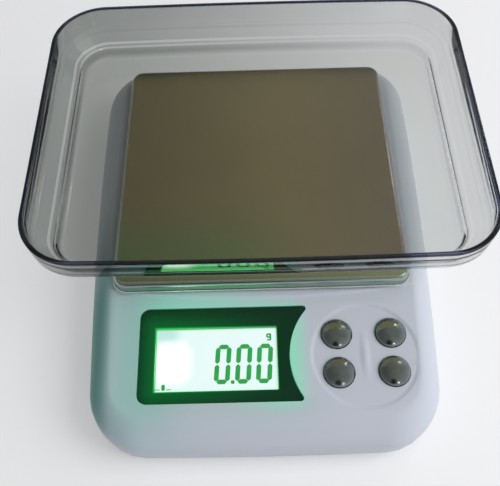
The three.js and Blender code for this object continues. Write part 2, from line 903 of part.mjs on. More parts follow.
function mainBoard() {
  const low = boardTopW - boardThickness;
  const board = toSolid(
    block(boardRight - boardLeft, boardHeight, low, boardTopW, boardMiddleX, -lcdDown),
  );
  const chip = toSolid(
    post(chipRadius, low - chipHeight, low + boardThickness * halfShare, lcdX, -lcdDown, chipRadius),
  );
  const sockets = [-socketWidth, socketWidth].map((x) =>
    toSolid(
      block(socketWidth, socketDepth, socketW, low + boardThickness * halfShare, x, socketY),
    ),
  );
  const holes = boardPosts.map(({ x, y }) =>
    toSolid(post(smallScrewRadius + gap, low - overrun, boardTopW + overrun, x, y)),
  );
  return cut(join(board, chip, ...sockets), ...holes);
}

function lcdFrame() {
  const low = boardTopW + gap;
  const high = lcdTopW;
  const y = -lcdDown + glassShift;
  return cut(
    toSolid(
      block(
        glassWidth + 2 * (gap + frameWall),
        glassHeight + 2 * (gap + frameWall),
        low,
        high,
        lcdX,
        y,
      ),
    ),
    toSolid(block(glassWidth + 2 * gap, glassHeight + 2 * gap, low - overrun, high + overrun, lcdX, y)),
  );
}

// Pan: rings from the sheet's underside, round the hem and up to the rolled top edge
function weighingPan() {
  const ring = (inset, z) =>
    roundedRing(
      panSize / 2 - inset,
      inset - panSize / 2,
      panSize / 2 - inset,
      Math.max(panCorner - inset, panSheet),
      [0],
    ).map((point) => new THREE.Vector3(point.x, point.y, z));
  const innerRoll = panRoll - panSheet;
  const hemZ = panHemZ + panHem;
  return loft([
    ring(panRoll, panUnderZ),
    ring(panSheet + innerRoll * quarterShare, panUnderZ - innerRoll * quarterShare),
    ring(panSheet, panUnderZ - innerRoll),
    ring(panSheet - panFlare, hemZ),
    ring(panSheet - panFlare, panHemZ),
    ring(-panFlare, panHemZ),
    ring(-panFlare - panHem, panHemZ + panHem * halfShare),
    ring(-panFlare - panHem, hemZ),
    ring(-panFlare, hemZ + panHem),
    ring(0, panTopZ - panRoll),
    ring(panRoll * eighthShare, panTopZ - panRoll * halfShare),
    ring(panRoll * halfShare, panTopZ - panRoll * eighthShare),
    ring(panRoll, panTopZ),
  ]);
}

function panCarrier() {
  const size = panSize - 2 * (panSheet + carrierMargin);
  const bossY = (screwYs[0] + screwYs[1]) / 2;
  const bossZ = freeSpacerZ + spacerThickness + gap;
  const slab = toSolid(plate(roundedShape(size, size, carrierCorner), carrierUnderZ, carrierTopZ));
  const boss = toSolid(
    block(bossWidth, bossLength, bossZ, carrierUnderZ + carrierPlate * halfShare, 0, bossY),
  );
  const ribLow = carrierUnderZ - carrierRibDepth;
  const ribHigh = carrierUnderZ + carrierPlate * halfShare;
  const ribReach = size - 2 * carrierCorner;
  const ribs = [-1, 1].flatMap((side) => [
    toSolid(block(carrierRibWidth, ribReach, ribLow, ribHigh, (side * bossWidth) / 2)),
    toSolid(block(ribReach, carrierRibWidth, ribLow, ribHigh, 0, (side * ribReach) / 2)),
    toSolid(block(carrierRibWidth, ribReach, ribLow, ribHigh, (side * ribReach) / 2)),
  ]);
  const stops = [-1, 1].flatMap((sideX) =>
    [-1, 1].map((sideY) =>
      toSolid(
        post(
          stopRadius,
          deckZ + stopGap,
          ribHigh,
          sideX * (size / 2 - stopInset),
          sideY * (size / 2 - stopInset),
        ),
      ),
    ),
  );
  const sink = carrierTopZ - screwHeadHeight - gap;
  const bores = screwYs.flatMap((y) => [
    toSolid(post(screwRadius + gap, bossZ - overrun, carrierTopZ + overrun, 0, y)),
    toSolid(post(screwHeadRadius + gap, sink - gap, carrierTopZ + overrun, 0, y)),
  ]);
  return cut(join(slab, boss, ...ribs, ...stops), ...bores);
}

// Load cell: the bar, its two bores with the slot between them, and the screw holes
function loadCell() {
  const bar = toSolid(block(cellWidth, cellLength, cellUnderZ, cellTopZ));
  const middleZ = (cellUnderZ + cellTopZ) / 2;
  const bores = [-1, 1].map((side) => {
    const bore = post(cellBore, -cellWidth, cellWidth);
    bore.rotateY(90 * degrees);
    bore.translate(0, (side * cellBorePitch) / 2, middleZ);
    return toSolid(bore);
  });
  const slot = toSolid(
    block(2 * cellWidth, cellBorePitch, middleZ - cellSlot / 2, middleZ + cellSlot / 2),
  );
  const holes = screwYs.flatMap((y) => [
    toSolid(post(screwRadius + gap, cellTopZ - screwBite - gap, cellTopZ + overrun, 0, y)),
    toSolid(post(screwRadius + gap, cellUnderZ - overrun, cellUnderZ + screwBite + gap, 0, -y)),
  ]);
  return cut(bar, ...bores, slot, ...holes);
}

function spacer(lowZ, side) {
  const slab = toSolid(
    block(cellWidth, spacerLength, lowZ, lowZ + spacerThickness, 0, (side * (screwYs[0] + screwYs[1])) / 2),
  );
  const holes = screwYs.map((y) =>
    toSolid(post(screwRadius + gap, lowZ - overrun, lowZ + spacerThickness + overrun, 0, side * y)),
  );
  return cut(slab, ...holes);
}

// Battery bay: cells, contacts and the cover, which swings on its rounded end
const nubEndY = bayLength / 2 - gap - contactThickness - contactBump - gap;

function dryCell(x, side) {
  const flatEnd = side * (nubEndY - batteryNub - batteryLength);
  const sleeveEnd = side * (nubEndY - batteryNub);
  const tube = toSolid(
    rod(batteryRadius, Math.min(flatEnd, sleeveEnd), Math.max(flatEnd, sleeveEnd), x, batteryZ),
  );
  const inner = sleeveEnd - side * batteryNub;
  const tip = side * nubEndY;
  const nub = toSolid(
    rod(batteryNubRadius, Math.min(inner, tip), Math.max(inner, tip), x, batteryZ),
  );
  return join(tube, nub);
}

function contactTab(x, side) {
  const y = side * tabY;
  return toSolid(block(tabWidth, contactThickness, batteryZ, tabTopZ, x, y));
}

function contactPlate(width, x, side) {
  const y = side * (bayLength / 2 - gap - contactThickness / 2);
  const low = batteryZ - contactHeight / 2;
  return toSolid(block(width, contactThickness, low, low + contactHeight, x, y));
}

function contactSpring(x, side) {
  const foot = side * (bayLength / 2 - gap - contactThickness * halfShare);
  const tip = side * (nubEndY - batteryNub - batteryLength) * -1 + side * gap;
  const turns =
    side < 0
      ? rod(springRadius, foot, tip, x, batteryZ, springTipRadius)
      : rod(springTipRadius, tip, foot, x, batteryZ, springRadius);
  return toSolid(turns);
}

function contactDimple(x, side) {
  const foot = side * (bayLength / 2 - gap - contactThickness * halfShare);
  const tip = side * (nubEndY + gap);
  return toSolid(rod(springTipRadius, Math.min(foot, tip), Math.max(foot, tip), x, batteryZ));
}

function batteryCover() {
  const noseRadius = coverThickness / 2;
  const endY = coverLength / 2;
  const side = new THREE.Shape();
  side.moveTo(-endY + noseRadius, coverUnderZ);
  side.lineTo(endY, coverUnderZ);
  side.lineTo(endY, coverTopZ);
  side.lineTo(-endY + noseRadius, coverTopZ);
  side.absarc(-endY + noseRadius, coverUnderZ + noseRadius, noseRadius, 90 * degrees, 270 * degrees);
  const slab = new THREE.ExtrudeGeometry(side, {
    depth: coverWidth,
    bevelEnabled: false,
    curveSegments: cornerSteps,
  });
  slab.rotateX(90 * degrees);
  slab.rotateZ(90 * degrees);
  slab.translate(bayX - coverWidth / 2, 0, 0);
  const latch = block(
    latchWidth,
    latchThickness,
    coverTopZ - coverThickness * halfShare,
    coverTopZ + latchHeight,
    bayX,
    endY - latchThickness / 2,
  );
  return join(toSolid(slab), toSolid(latch));
}

// Tray: rings up the outside, over the rim and down the inside
function weighingTray() {
  const ring = (inset, height) => {
    const halfX = trayWidth / 2 - inset;
    const halfY = trayLength / 2 - inset;
    const radius = Math.max(trayCorner - inset, trayWall);
    return roundedRing(halfX, -halfY, halfY, radius, [0], traySteps).map((point) => {
      const across = point.x / halfX;
      const bow = (trayBow * (across * across - 1) * point.y) / halfY;
      return new THREE.Vector3(point.x, point.y - bow - trayBow * Math.sign(point.y), height);
    });
  };
  const bandLow = trayHeight - trayBand;
  const ledgeLow = bandLow - trayLedgeDrop;
  const wallTop = trayBandLean + trayLedgeRun;
  const wallFoot = wallTop + trayWallLean;
  const floorInset = wallFoot + trayFootRun;
  const over = trayWall * threeQuarterShare;
  const ledge = trayLedgeShares.map(([run, drop]) => [
    trayBandLean + trayLedgeRun * run,
    bandLow - trayLedgeDrop * drop,
  ]);
  const outer = [
    [floorInset, 0],
    [wallFoot + trayFootRun * halfShare, trayFoot * eighthShare],
    [wallFoot + trayFootRun * eighthShare, trayFoot * halfShare],
    [wallFoot, trayFoot],
    [wallTop, ledgeLow],
    ...[...ledge].reverse(),
    [trayBandLean, bandLow],
    [0, trayHeight - trayRimRound],
    [trayRimRound, trayHeight],
  ];
  const inner = [
    [trayWall - trayRimRound, trayHeight],
    [trayWall, trayHeight - trayRimRound],
    [trayBandLean + trayWall, bandLow + trayWall * halfShare],
    ...ledge.map(([inset, height]) => [inset + over, height + over]),
    [wallTop + trayWall, ledgeLow + trayWall * halfShare],
    [wallFoot + trayWall, trayFoot + trayFloor * halfShare],
    [wallFoot + trayWall + trayFootRun * eighthShare, trayFoot * halfShare + trayFloor],
    [wallFoot + trayWall + trayFootRun * halfShare, trayFoot * eighthShare + trayFloor],
    [floorInset + trayWall, trayFloor],
  ];
  return loft([...outer, ...inner].map(([inset, height]) => ring(inset, height)));
}

// A lead along a smooth curve through hand-set points
function lead(points) {
  const route = new THREE.CatmullRomCurve3(points.map(([x, y, z]) => new THREE.Vector3(x, y, z)));
  const section = new THREE.Shape();
  for (let i = 0; i < leadSides; i += 1) {
    const angle = (2 * Math.PI * i) / leadSides;
    const x = leadRadius * Math.cos(angle);
    const y = leadRadius * Math.sin(angle);
    if (i === 0) section.moveTo(x, y);
    else section.lineTo(x, y);
  }
  return new THREE.ExtrudeGeometry(section, { steps: leadSteps, extrudePath: route });
}

function panelPoint(x, y, w) {
  return new THREE.Vector3(x, y, w).applyMatrix4(panelMatrix).toArray();
}

// From a contact's tab along the roof of the bay, then down and up into a socket
function batteryLead(side) {
  const startX = bayX + side * batteryApart;
  const roofZ = bayRoofZ + bayWall + gap + leadRadius;
  const shift = (side * leadPair) / 2;
  return lead([
    [startX, tabY - contactThickness / 2 - gap, roofZ],
    [startX, 0, roofZ + leadRadius],
    [startX, -towerLength / 2, roofZ + leadRadius],
    [leadCrossX + shift, leadCrossY, leadCrossZ],
    [shift - socketWidth, leadTurnY, leadLowZ],
    [shift - socketWidth, leadDipY, leadLowZ],
    panelPoint(shift - socketWidth, socketY, socketW - gap),
  ]);
}

// From the gauges on the bar's side to the other socket
function gaugeLead() {
  const middleZ = (cellUnderZ + cellTopZ) / 2;
  return lead([
    [cellWidth / 2 + gap, cellLeadY, middleZ],
    [cellLeadBendX, cellLeadY - leadPair, middleZ],
    [cellLeadBendX, cellLeadBendY, middleZ],
    [cellLeadBendX, leadCrossY, leadLowZ + leadPair],
    [socketWidth, leadTurnY, leadLowZ],
    [socketWidth, leadDipY, leadLowZ],
    panelPoint(socketWidth, socketY, socketW - gap),
  ]);
}

// Assembly
const scale = new THREE.Group();
const panel = new THREE.Group();
panel.position.set(0, -panelEdge, deckZ);
panel.rotation.x = tilt;
scale.add(panel);

function add(name, shape, material, parent = scale, x = 0, y = 0, z = 0) {
  const geometry = shape.isBufferGeometry ? shape : toGeometry(shape);
  const mesh = new THREE.Mesh(geometry, material.clone());
  mesh.name = name;
  mesh.position.set(x, y, z);
  parent.add(mesh);
  return mesh;
}

add("upper_housing", upperHousing(), whitePlastic);
add("base_housing", baseHousing(), whitePlastic);
footPlaces().forEach(([x, y], i) => add(`rubber_foot_${i + 1}`, foot(), blackRubber, scale, x, y));
pillars.forEach(([x, y], i) => {
  const fixing = screw(smallScrewRadius, pillarScrewLength - gap, screwHeadRadius, screwHeadHeight);
  fixing.rotateX(180 * degrees);
  add(`housing_screw_${i + 1}`, fixing, zincSteel, scale, x, y, footHeight + pillarSeat - gap);
});

add("display_window", plate(windowShape(0), -windowThickness, 0, windowArcSteps), darkWindow, panel);
add(
  "lcd_glass",
  block(glassWidth, glassHeight, lcdTopW - lcdThickness, lcdTopW, lcdX, -lcdDown + glassShift),
  displayGlass,
  panel,
);
add(
  "light_guide",
  block(
    lcdViewWidth + 2 * lcdMargin,
    lcdViewHeight + 2 * lcdMargin,
    guideTopW - lightGuideThickness,
    guideTopW,
    lcdX,
    -lcdDown,
  ),
  clearGuide,
  panel,
);
add(
  "contact_strip",
  block(
    glassWidth * stripShare,
    stripWidth,
    guideTopW - lightGuideThickness,
    guideTopW,
    lcdX,
    -lcdDown + lcdViewHeight / 2 + lcdMargin + gap + stripWidth / 2,
  ),
  greyRubber,
  panel,
);
add("lcd_frame", lcdFrame(), whitePlastic, panel);
add("main_board", mainBoard(), boardGreen, panel);
boardPosts.forEach(({ x, y }, i) => {
  const fixing = screw(smallScrewRadius, smallScrewLength, smallHeadRadius, smallHeadHeight);
  fixing.rotateX(180 * degrees);
  add(`board_screw_${i + 1}`, fixing, zincSteel, panel, x, y, boardTopW - boardThickness - gap);
});
add("key_mat", keyMat(), greyRubber, panel);
keyPlaces.forEach(({ name, x, y }) => add(name, dome(), chrome, panel, x, y));

add("load_cell", loadCell(), aluminium);
add("gauge_lead", gaugeLead(), greyJacket);
add("fixed_end_spacer", spacer(fixedSpacerZ, -1), zincSteel);
add("free_end_spacer", spacer(freeSpacerZ, 1), zincSteel);
screwYs.forEach((y, i) => {
  const length = cellUnderZ + screwBite - footHeight - screwHeadHeight - gap;
  const fixing = screw(screwRadius, length, screwHeadRadius, screwHeadHeight - gap);
  fixing.rotateX(180 * degrees);
  add(`base_screw_${i + 1}`, fixing, zincSteel, scale, 0, -y, footHeight + screwHeadHeight);
});
screwYs.forEach((y, i) => {
  const seat = carrierTopZ - screwHeadHeight - gap;
  const fixing = screw(screwRadius, seat - cellTopZ + screwBite, screwHeadRadius, screwHeadHeight);
  add(`carrier_screw_${i + 1}`, fixing, zincSteel, scale, 0, y, seat);
});
add("pan_carrier", panCarrier(), whitePlastic);
add("weighing_pan", weighingPan(), steel);
add("weighing_tray", weighingTray(), smokedPlastic, scale, 0, trayBackset, trayZ);

add("battery_cover", batteryCover(), whitePlastic);
add("dry_cell_1", dryCell(bayX - batteryApart, 1), cellSleeve);
add("dry_cell_2", dryCell(bayX + batteryApart, -1), cellSleeve);
add(
  "contact_link",
  join(
    contactPlate(contactWidth + 2 * batteryApart, bayX, -1),
    contactSpring(bayX - batteryApart, -1),
    contactDimple(bayX + batteryApart, -1),
  ),
  zincSteel,
);
add(
  "contact_positive",
  join(
    contactPlate(contactWidth, bayX - batteryApart, 1),
    contactTab(bayX - batteryApart, 1),
    contactDimple(bayX - batteryApart, 1),
  ),
  zincSteel,
);
add(
  "contact_negative",
  join(
    contactPlate(contactWidth, bayX + batteryApart, 1),
    contactTab(bayX + batteryApart, 1),
    contactSpring(bayX + batteryApart, 1),
  ),
  zincSteel,
);
add("battery_lead_red", batteryLead(-1), redJacket);
add("battery_lead_black", batteryLead(1), blackJacket);

// The origin lies on the table, under the middle of the whole outline
const trayHalfLength = trayLength / 2;
const frontmost = -bodyFront;
const backmost = trayBackset + trayHalfLength;
scale.position.y = -(frontmost + backmost) / 2;

export default scale;
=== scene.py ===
"""Precision laboratory scale: the pieces, finishes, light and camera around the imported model."""

import json
import math

import bmesh
import bpy
from mathutils import Matrix, Vector, geometry


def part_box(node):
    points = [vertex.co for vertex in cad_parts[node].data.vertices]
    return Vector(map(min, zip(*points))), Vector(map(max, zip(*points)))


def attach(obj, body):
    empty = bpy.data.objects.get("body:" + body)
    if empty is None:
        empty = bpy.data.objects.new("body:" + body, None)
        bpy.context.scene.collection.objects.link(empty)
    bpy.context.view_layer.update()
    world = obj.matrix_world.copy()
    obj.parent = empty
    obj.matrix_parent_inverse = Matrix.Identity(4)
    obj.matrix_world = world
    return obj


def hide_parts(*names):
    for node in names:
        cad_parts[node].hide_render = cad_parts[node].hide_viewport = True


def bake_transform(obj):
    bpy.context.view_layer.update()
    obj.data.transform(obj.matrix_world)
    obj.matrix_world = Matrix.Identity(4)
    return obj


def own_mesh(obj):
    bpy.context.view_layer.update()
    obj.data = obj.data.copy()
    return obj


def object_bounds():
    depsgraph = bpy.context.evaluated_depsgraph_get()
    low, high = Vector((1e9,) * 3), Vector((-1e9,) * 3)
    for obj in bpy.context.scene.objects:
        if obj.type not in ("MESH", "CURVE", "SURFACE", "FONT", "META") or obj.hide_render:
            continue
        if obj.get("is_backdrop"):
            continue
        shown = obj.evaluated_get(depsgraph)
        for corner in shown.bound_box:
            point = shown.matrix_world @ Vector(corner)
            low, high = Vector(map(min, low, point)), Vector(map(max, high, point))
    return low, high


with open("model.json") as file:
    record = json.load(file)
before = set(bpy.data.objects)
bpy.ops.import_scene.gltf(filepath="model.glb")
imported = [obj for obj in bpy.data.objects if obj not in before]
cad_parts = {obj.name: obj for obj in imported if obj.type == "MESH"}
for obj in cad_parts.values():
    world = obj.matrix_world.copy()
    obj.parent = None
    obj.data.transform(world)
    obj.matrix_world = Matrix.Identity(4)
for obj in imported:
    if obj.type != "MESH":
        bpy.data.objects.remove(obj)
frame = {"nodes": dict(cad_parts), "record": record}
cad_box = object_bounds()

# Everything is in metres. The middle of the pan lies this far behind the frame's origin
PAN_Y = 0.02215

# Body: half width, then how far it reaches before and behind the pan's middle
BODY_HALF = 0.0804
BODY_FRONT = 0.1315
BODY_BACK = 0.0785
BODY_CORNER = 0.025
BODY_TAPER = 0.007
BODY_WIDEST = 0.04
FRONT_BOW = 0.0012
PARTING_Z = 0.007
WAIST_Z = 0.012
SHOULDER_Z = 0.016
DECK_Z = 0.032
SHOULDER_RUN = 0.0115
SHOULDER_POWER = 1.6
SHOULDER_STEPS = 12
WALL = 0.0024
TUCK = 0.0006
WAIST_LEAN = 0.0003

# Panel: its crease before the pan's middle, its tilt, and the deck's bulge over it
PANEL_EDGE = 0.06
PANEL_TILT = math.radians(5.6)
BULGE_HALF_WIDTH = 0.08
BULGE_DEPTH = 0.012
BULGE_Y = -0.0573
BULGE_RAMP = (-0.0003, 0.0013)

# Opening in the deck for the pan's carrier, behind the pan's middle
OPENING_HALF_WIDTH = 0.014
OPENING_FRONT = 0.0165
OPENING_BACK = 0.0425

# Key pad and keys, across and up the panel
PAD = (0.043, -0.0356)
PAD_RADIUS = 0.02355
PAD_FLOOR_RADIUS = 0.02155
PAD_DEPTH = 0.0005
RIDGE_HALF_LENGTH = 0.0145
RIDGE_HALF_WIDTH = 0.0026
RIDGE_HEIGHT = 0.0005
KEY_ACROSS = 0.01155
KEY_ROWS = (-0.02605, -0.04295)
KEY_RADIUS = 0.0065
KEY_RISE = 0.0005
KEY_DOME = 0.0024
KEY_FLANGE = 0.0009
KEY_FLANGE_TOP = -0.0027
KEY_STEM = 0.0024
KEY_STEM_END = -0.0046
GAP = 0.0003

# Display window and display, across and up the panel
WINDOW_LEFT = -0.0528
WINDOW_TOP = -0.013
WINDOW_BOTTOM = -0.0544
WINDOW_ARC = 0.0322
WINDOW_CORNER = 0.004
WINDOW_TIP = 0.0014
WINDOW_RISE = (WINDOW_TOP - WINDOW_BOTTOM) / 2
WINDOW_THICK = 0.0015
VIEW_MIDDLE = (-0.02, -0.0357)
VIEW_WIDTH = 0.0518
VIEW_HEIGHT = 0.0276
VIEW_CORNER = 0.0006
PANE_GAP = 0.0001
PANE_TOP = -0.0017
PANE_THICK = 0.0009

# The part of the window whose light is painted on the body: its right end, and how far its ends stay
# inside
LIT_RIGHT = 0.011
LIT_MARGIN = 0.004

# Fine grain of most finishes: scale and height
GRAIN = (2500.0, 0.00001)

# Figures on the display
FIGURE_LEFTS = (-0.0213, -0.0124, -0.0036)
FIGURE_BOTTOM = -0.0464
FIGURE_HEIGHT = 0.0172
FIGURE_WIDTH = 0.0067
FIGURE_BAR = 0.002
FIGURE_GAP = 0.00025
FIGURE_SLANT = 0.07
FIGURE_THICK = 0.00012
UNIT_HOLE = 0.00035
UNIT_RING = 0.0011
UNIT_PLACE = (0.0024, -0.0256)

# Plates on the display: width, length, corner, place across and up, steps in a corner
POINT = (0.0016, 0.0016, 0.0006, FIGURE_LEFTS[1] - 0.0008, FIGURE_BOTTOM + 0.0008, 3)
UNIT_STEM = (0.0007, 0.003, 0.0001, 0.0032, -0.0261, 2)
UNIT_HOOK = (0.0016, 0.00065, 0.0001, 0.00255, -0.0275, 2)
REST_DROP = (0.0015, 0.0026, 0.0006, -0.0423, -0.0473, 3)
REST_DASHES = (
    (0.0022, 0.00035, 0.0001, -0.0448, -0.0482, 2),
    (0.002, 0.00035, 0.0001, -0.04, -0.0482, 2),
)

# Pan
PAN_HALF = 0.065
PAN_TOP = 0.038
PAN_HEM_Z = 0.0332
PAN_CORNER = 0.006
PAN_ROLL = 0.0022
PAN_SHEET = 0.0007
PAN_HEM = 0.0006
PAN_FLARE = 0.0003

# Tray
TRAY_HALF_WIDTH = 0.1015
TRAY_HALF_LENGTH = 0.0786
TRAY_Y = PAN_Y + 0.0086
TRAY_Z = 0.0383
TRAY_HEIGHT = 0.026
TRAY_CORNER = 0.025
TRAY_WALL = 0.0022
TRAY_FLOOR = 0.002
TRAY_BOW = 0.0014
TRAY_BAND = 0.0118
TRAY_BAND_LEAN = 0.0009
TRAY_LEDGE_DROP = 0.0074
TRAY_LEDGE_RUN = 0.0084
TRAY_WALL_LEAN = 0.0009
TRAY_FOOT_RUN = 0.0022
TRAY_BEND = 0.0012
TRAY_RIM_ROUND = 0.0007

# Camera, from the photograph's straight edges
CAMERA_PLACE = (-0.00241, -0.19019, 0.30432)
CAMERA_PITCH = math.radians(57.75)
CAMERA_YAW = math.radians(-0.76)
CAMERA_ROLL = math.radians(-2.13)
CAMERA_LENS = 50.4

PANEL_PLACE = (0.0, PAN_Y - PANEL_EDGE, DECK_Z)
PANEL = Matrix.Translation(PANEL_PLACE) @ Matrix.Rotation(PANEL_TILT, 4, "X")


# ---------------------------------------------------------------- modelling

def deselect_all():
    if bpy.context.object and bpy.context.object.mode != "OBJECT":
        bpy.ops.object.mode_set(mode="OBJECT")
    bpy.ops.object.select_all(action="DESELECT")


def activate(piece):
    deselect_all()
    piece.select_set(True)
    bpy.context.view_layer.objects.active = piece


def select_mesh():
    bpy.ops.mesh.select_all(action="SELECT")


def edit(piece, kind="FACE"):
    """Opens a piece for editing with all of it selected."""
    activate(piece)
    bpy.ops.object.mode_set(mode="EDIT")
    bpy.ops.mesh.select_mode(type=kind)
    select_mesh()


def leave_edit():
    bpy.ops.object.mode_set(mode="OBJECT")


def pick_faces(piece, test):
    """Selects the faces whose middle and normal pass the test."""
    bpy.ops.mesh.select_all(action="DESELECT")
    shape = bmesh.from_edit_mesh(piece.data)
    for face in shape.faces:
        face.select_set(test(face.calc_center_median(), face.normal))
    bmesh.update_edit_mesh(piece.data)


def extrude(x, y, z):
    bpy.ops.mesh.extrude_region_move(TRANSFORM_OT_translate={"value": (x, y, z)})


def apply_modifier(piece, kind, **settings):
    activate(piece)
    modifier = piece.modifiers.new(kind.title(), kind)
    for name, value in settings.items():
        setattr(modifier, name, value)
    bpy.ops.object.modifier_apply(modifier=modifier.name)


def soften(piece, width, segments=2):
    """Rounds the piece's sharp edges."""
    edges = {"limit_method": "ANGLE", "angle_limit": math.radians(50)}
    apply_modifier(piece, "BEVEL", width=width, segments=segments, **edges)


def smooth(piece, angle=35):
    activate(piece)
    bpy.ops.object.shade_smooth_by_angle(angle=math.radians(angle))


def recalculate(piece):
    """Joins doubled points and turns all faces outwards."""
    edit(piece)
    bpy.ops.mesh.remove_doubles(threshold=0.000001)
    bpy.ops.mesh.normals_make_consistent(inside=False)
    leave_edit()


def put_on_panel(piece):
    """Carries a piece drawn flat onto the tilted panel."""
    activate(piece)
    piece.matrix_world = PANEL @ piece.matrix_world
    bpy.ops.object.transform_apply()


def subtract(piece, cutter):
    apply_modifier(piece, "BOOLEAN", operation="DIFFERENCE", object=cutter, solver="EXACT")
    bpy.data.objects.remove(cutter, do_unlink=True)


def new_object(name, data):
    piece = bpy.data.objects.new(name, data)
    bpy.context.scene.collection.objects.link(piece)
    return piece


def new_plane(name, size, x=0.0, y=0.0, z=0.0):
    """A square plane, to draw a piece out of."""
    deselect_all()
    bpy.ops.mesh.primitive_plane_add(size=size, location=(x, y, z))
    bpy.context.object.name = name
    return bpy.context.object


def shift(piece, x, y, z=0.0):
    activate(piece)
    piece.location = (x, y, z)
    bpy.ops.object.transform_apply()


def joined(name, pieces):
    activate(pieces[0])
    for piece in pieces:
        piece.select_set(True)
    bpy.ops.object.join()
    pieces[0].name = name
    return pieces[0]


def slab(name, width, length, corner, low, high, x, y, segments):
    """A flat plate with rounded corners, from a plane."""
    piece = new_plane(name, 1, x, y, low)
    piece.scale = (width, length, 1)
    bpy.ops.object.transform_apply()
    edit(piece, "VERT")
    bpy.ops.mesh.bevel(offset=corner, segments=segments, affect="VERTICES")
    bpy.ops.mesh.select_mode(type="FACE")
    select_mesh()
    extrude(0, 0, high - low)
    leave_edit()
    recalculate(piece)
    return piece


def turned(name, profile, steps):
    """A piece of revolution about Z: one point is drawn out along the profile and spun."""
    first = profile[0]
    piece = new_plane(name, 0.001)
    edit(piece, "VERT")
    bpy.ops.mesh.merge(type="CENTER")
    select_mesh()
    bpy.ops.transform.translate(value=(first[0], 0, first[1]))
    for here, there in zip(profile, profile[1:]):
        extrude(there[0] - here[0], 0, there[1] - here[1])
    select_mesh()
    bpy.ops.mesh.spin(
        steps=steps, angle=2 * math.pi, center=(0, 0, 0), axis=(0, 0, 1), use_auto_merge=True
    )
    leave_edit()
    recalculate(piece)
    return piece


def merged_copy(name, node, round_by=0.0):
    """A copy of a CAD node with its loose triangles joined into clean faces."""
    piece = frame["nodes"][node].copy()
    piece.data = piece.data.copy()
    piece.name = name
    piece.parent = None
    piece.matrix_world = Matrix.Identity(4)
    piece.hide_viewport = piece.hide_render = False
    bpy.context.scene.collection.objects.link(piece)
    recalculate(piece)
    edit(piece)
    bpy.ops.mesh.dissolve_limited(angle_limit=math.radians(0.6))
    leave_edit()
    if round_by > 0:
        soften(piece, round_by)
    smooth(piece)
    apply_modifier(piece, "WEIGHTED_NORMAL", keep_sharp=True)
    return piece


def dress(piece, finish):
    """Gives a piece one finish in place of those it has."""
    piece.data.materials.clear()
    piece.data.materials.append(finish)


def settle(piece, body, slot, *nodes, finish=None):
    """Gives a piece the finish of its slot, or the finish given, ties it to its body if it has one, and
    hides the CAD nodes it stands for.
    """
    dress(piece, finish or FINISHES[slot])
    if body:
        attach(piece, body)
    if nodes:
        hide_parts(*nodes)


def from_faces(name, points, faces):
    mesh = bpy.data.meshes.new(name)
    mesh.from_pydata([tuple(point) for point in points], [], faces)
    mesh.update()
    return new_object(name, mesh)


def rings_to_faces(count, rings):
    """Faces between each ring of points and the next one."""
    faces = []
    for here in range(0, (rings - 1) * count, count):
        there = here + count
        for i in range(count):
            j = (i + 1) % count
            faces.append((here + i, here + j, there + j, there + i))
    return faces


# ---------------------------------------------------------------- outlines

def arc(middle, radius, start, end, steps):
    """Points along an arc with both its ends."""
    points = []
    for i in range(steps + 1):
        angle = start + (end - start) * i / steps
        points.append((middle[0] + radius * math.cos(angle), middle[1] + radius * math.sin(angle)))
    return points


def circle(middle, radius, steps):
    return arc(middle, radius, 0.0, 2 * math.pi, steps)[:-1]


def rounded_outline(half_width, front, back, corner, stops, steps, side_steps):
    """Points round a rounded rectangle, anticlockwise from the right side."""
    right = half_width - corner

    def bend(x, y, quarter):
        start = quarter * math.pi / 2
        return arc((x, y), corner, start, start + math.pi / 2, steps)

    def side(start, end, y):
        return [(start + (end - start) * i / side_steps, y) for i in range(1, side_steps)]

    return [
        *((half_width, y) for y in stops),
        *bend(right, back - corner, 0),
        *side(right, -right, back),
        *bend(-right, back - corner, 1),
        *((-half_width, y) for y in reversed(stops)),
        *bend(-right, front + corner, 2),
        *side(-right, right, front),
        *bend(right, front + corner, 3),
    ]


BODY_STOPS = (
    [-0.1025 + 0.006 * i for i in range(6)]
    + [-0.0705 + 0.00075 * i for i in range(20)]
    + [-0.05 + 0.0085 * i for i in range(12)]
)


def body_outline(inset):
    """The body's tapered and bowed outline about the pan's middle, drawn in by an inset."""
    corner = max(BODY_CORNER - inset, WALL)
    points = []
    outline = rounded_outline(
        BODY_HALF - inset, inset - BODY_FRONT, BODY_BACK - inset, corner, BODY_STOPS, 18, 16
    )
    for x, y in outline:
        away = (BODY_WIDEST - y) / (BODY_WIDEST + BODY_FRONT)
        forward = max(0.0, -y - PANEL_EDGE) / (BODY_FRONT - PANEL_EDGE)
        across = x / BODY_HALF
        drawn_in = 1 - BODY_TAPER / BODY_HALF * away * away
        points.append((x * drawn_in, y + FRONT_BOW * across * across * forward))
    return points


def smoothstep(value):
    value = min(1.0, max(0.0, value))
    return value * value * (3 - 2 * value)


def bulge_depth(x, y):
    """How far a place lies inside the edge of the deck's bulge."""
    if y >= BULGE_Y:
        return BULGE_DEPTH
    across = x / BULGE_HALF_WIDTH
    down = (y - BULGE_Y) / BULGE_DEPTH
    reach = math.hypot(across, down)
    slope = math.hypot(across / BULGE_HALF_WIDTH, down / BULGE_DEPTH) / reach
    return (1 - reach) / slope


def top_height(x, y, inside=None):
    """Height of the deck, the bulge's edge or the panel above a place."""
    panel = DECK_Z + min(0.0, y + PANEL_EDGE) * math.tan(PANEL_TILT)
    depth = bulge_depth(x, y) if inside is None else inside
    low, high = BULGE_RAMP
    return panel + (DECK_Z - panel) * smoothstep((depth - low) / (high - low))


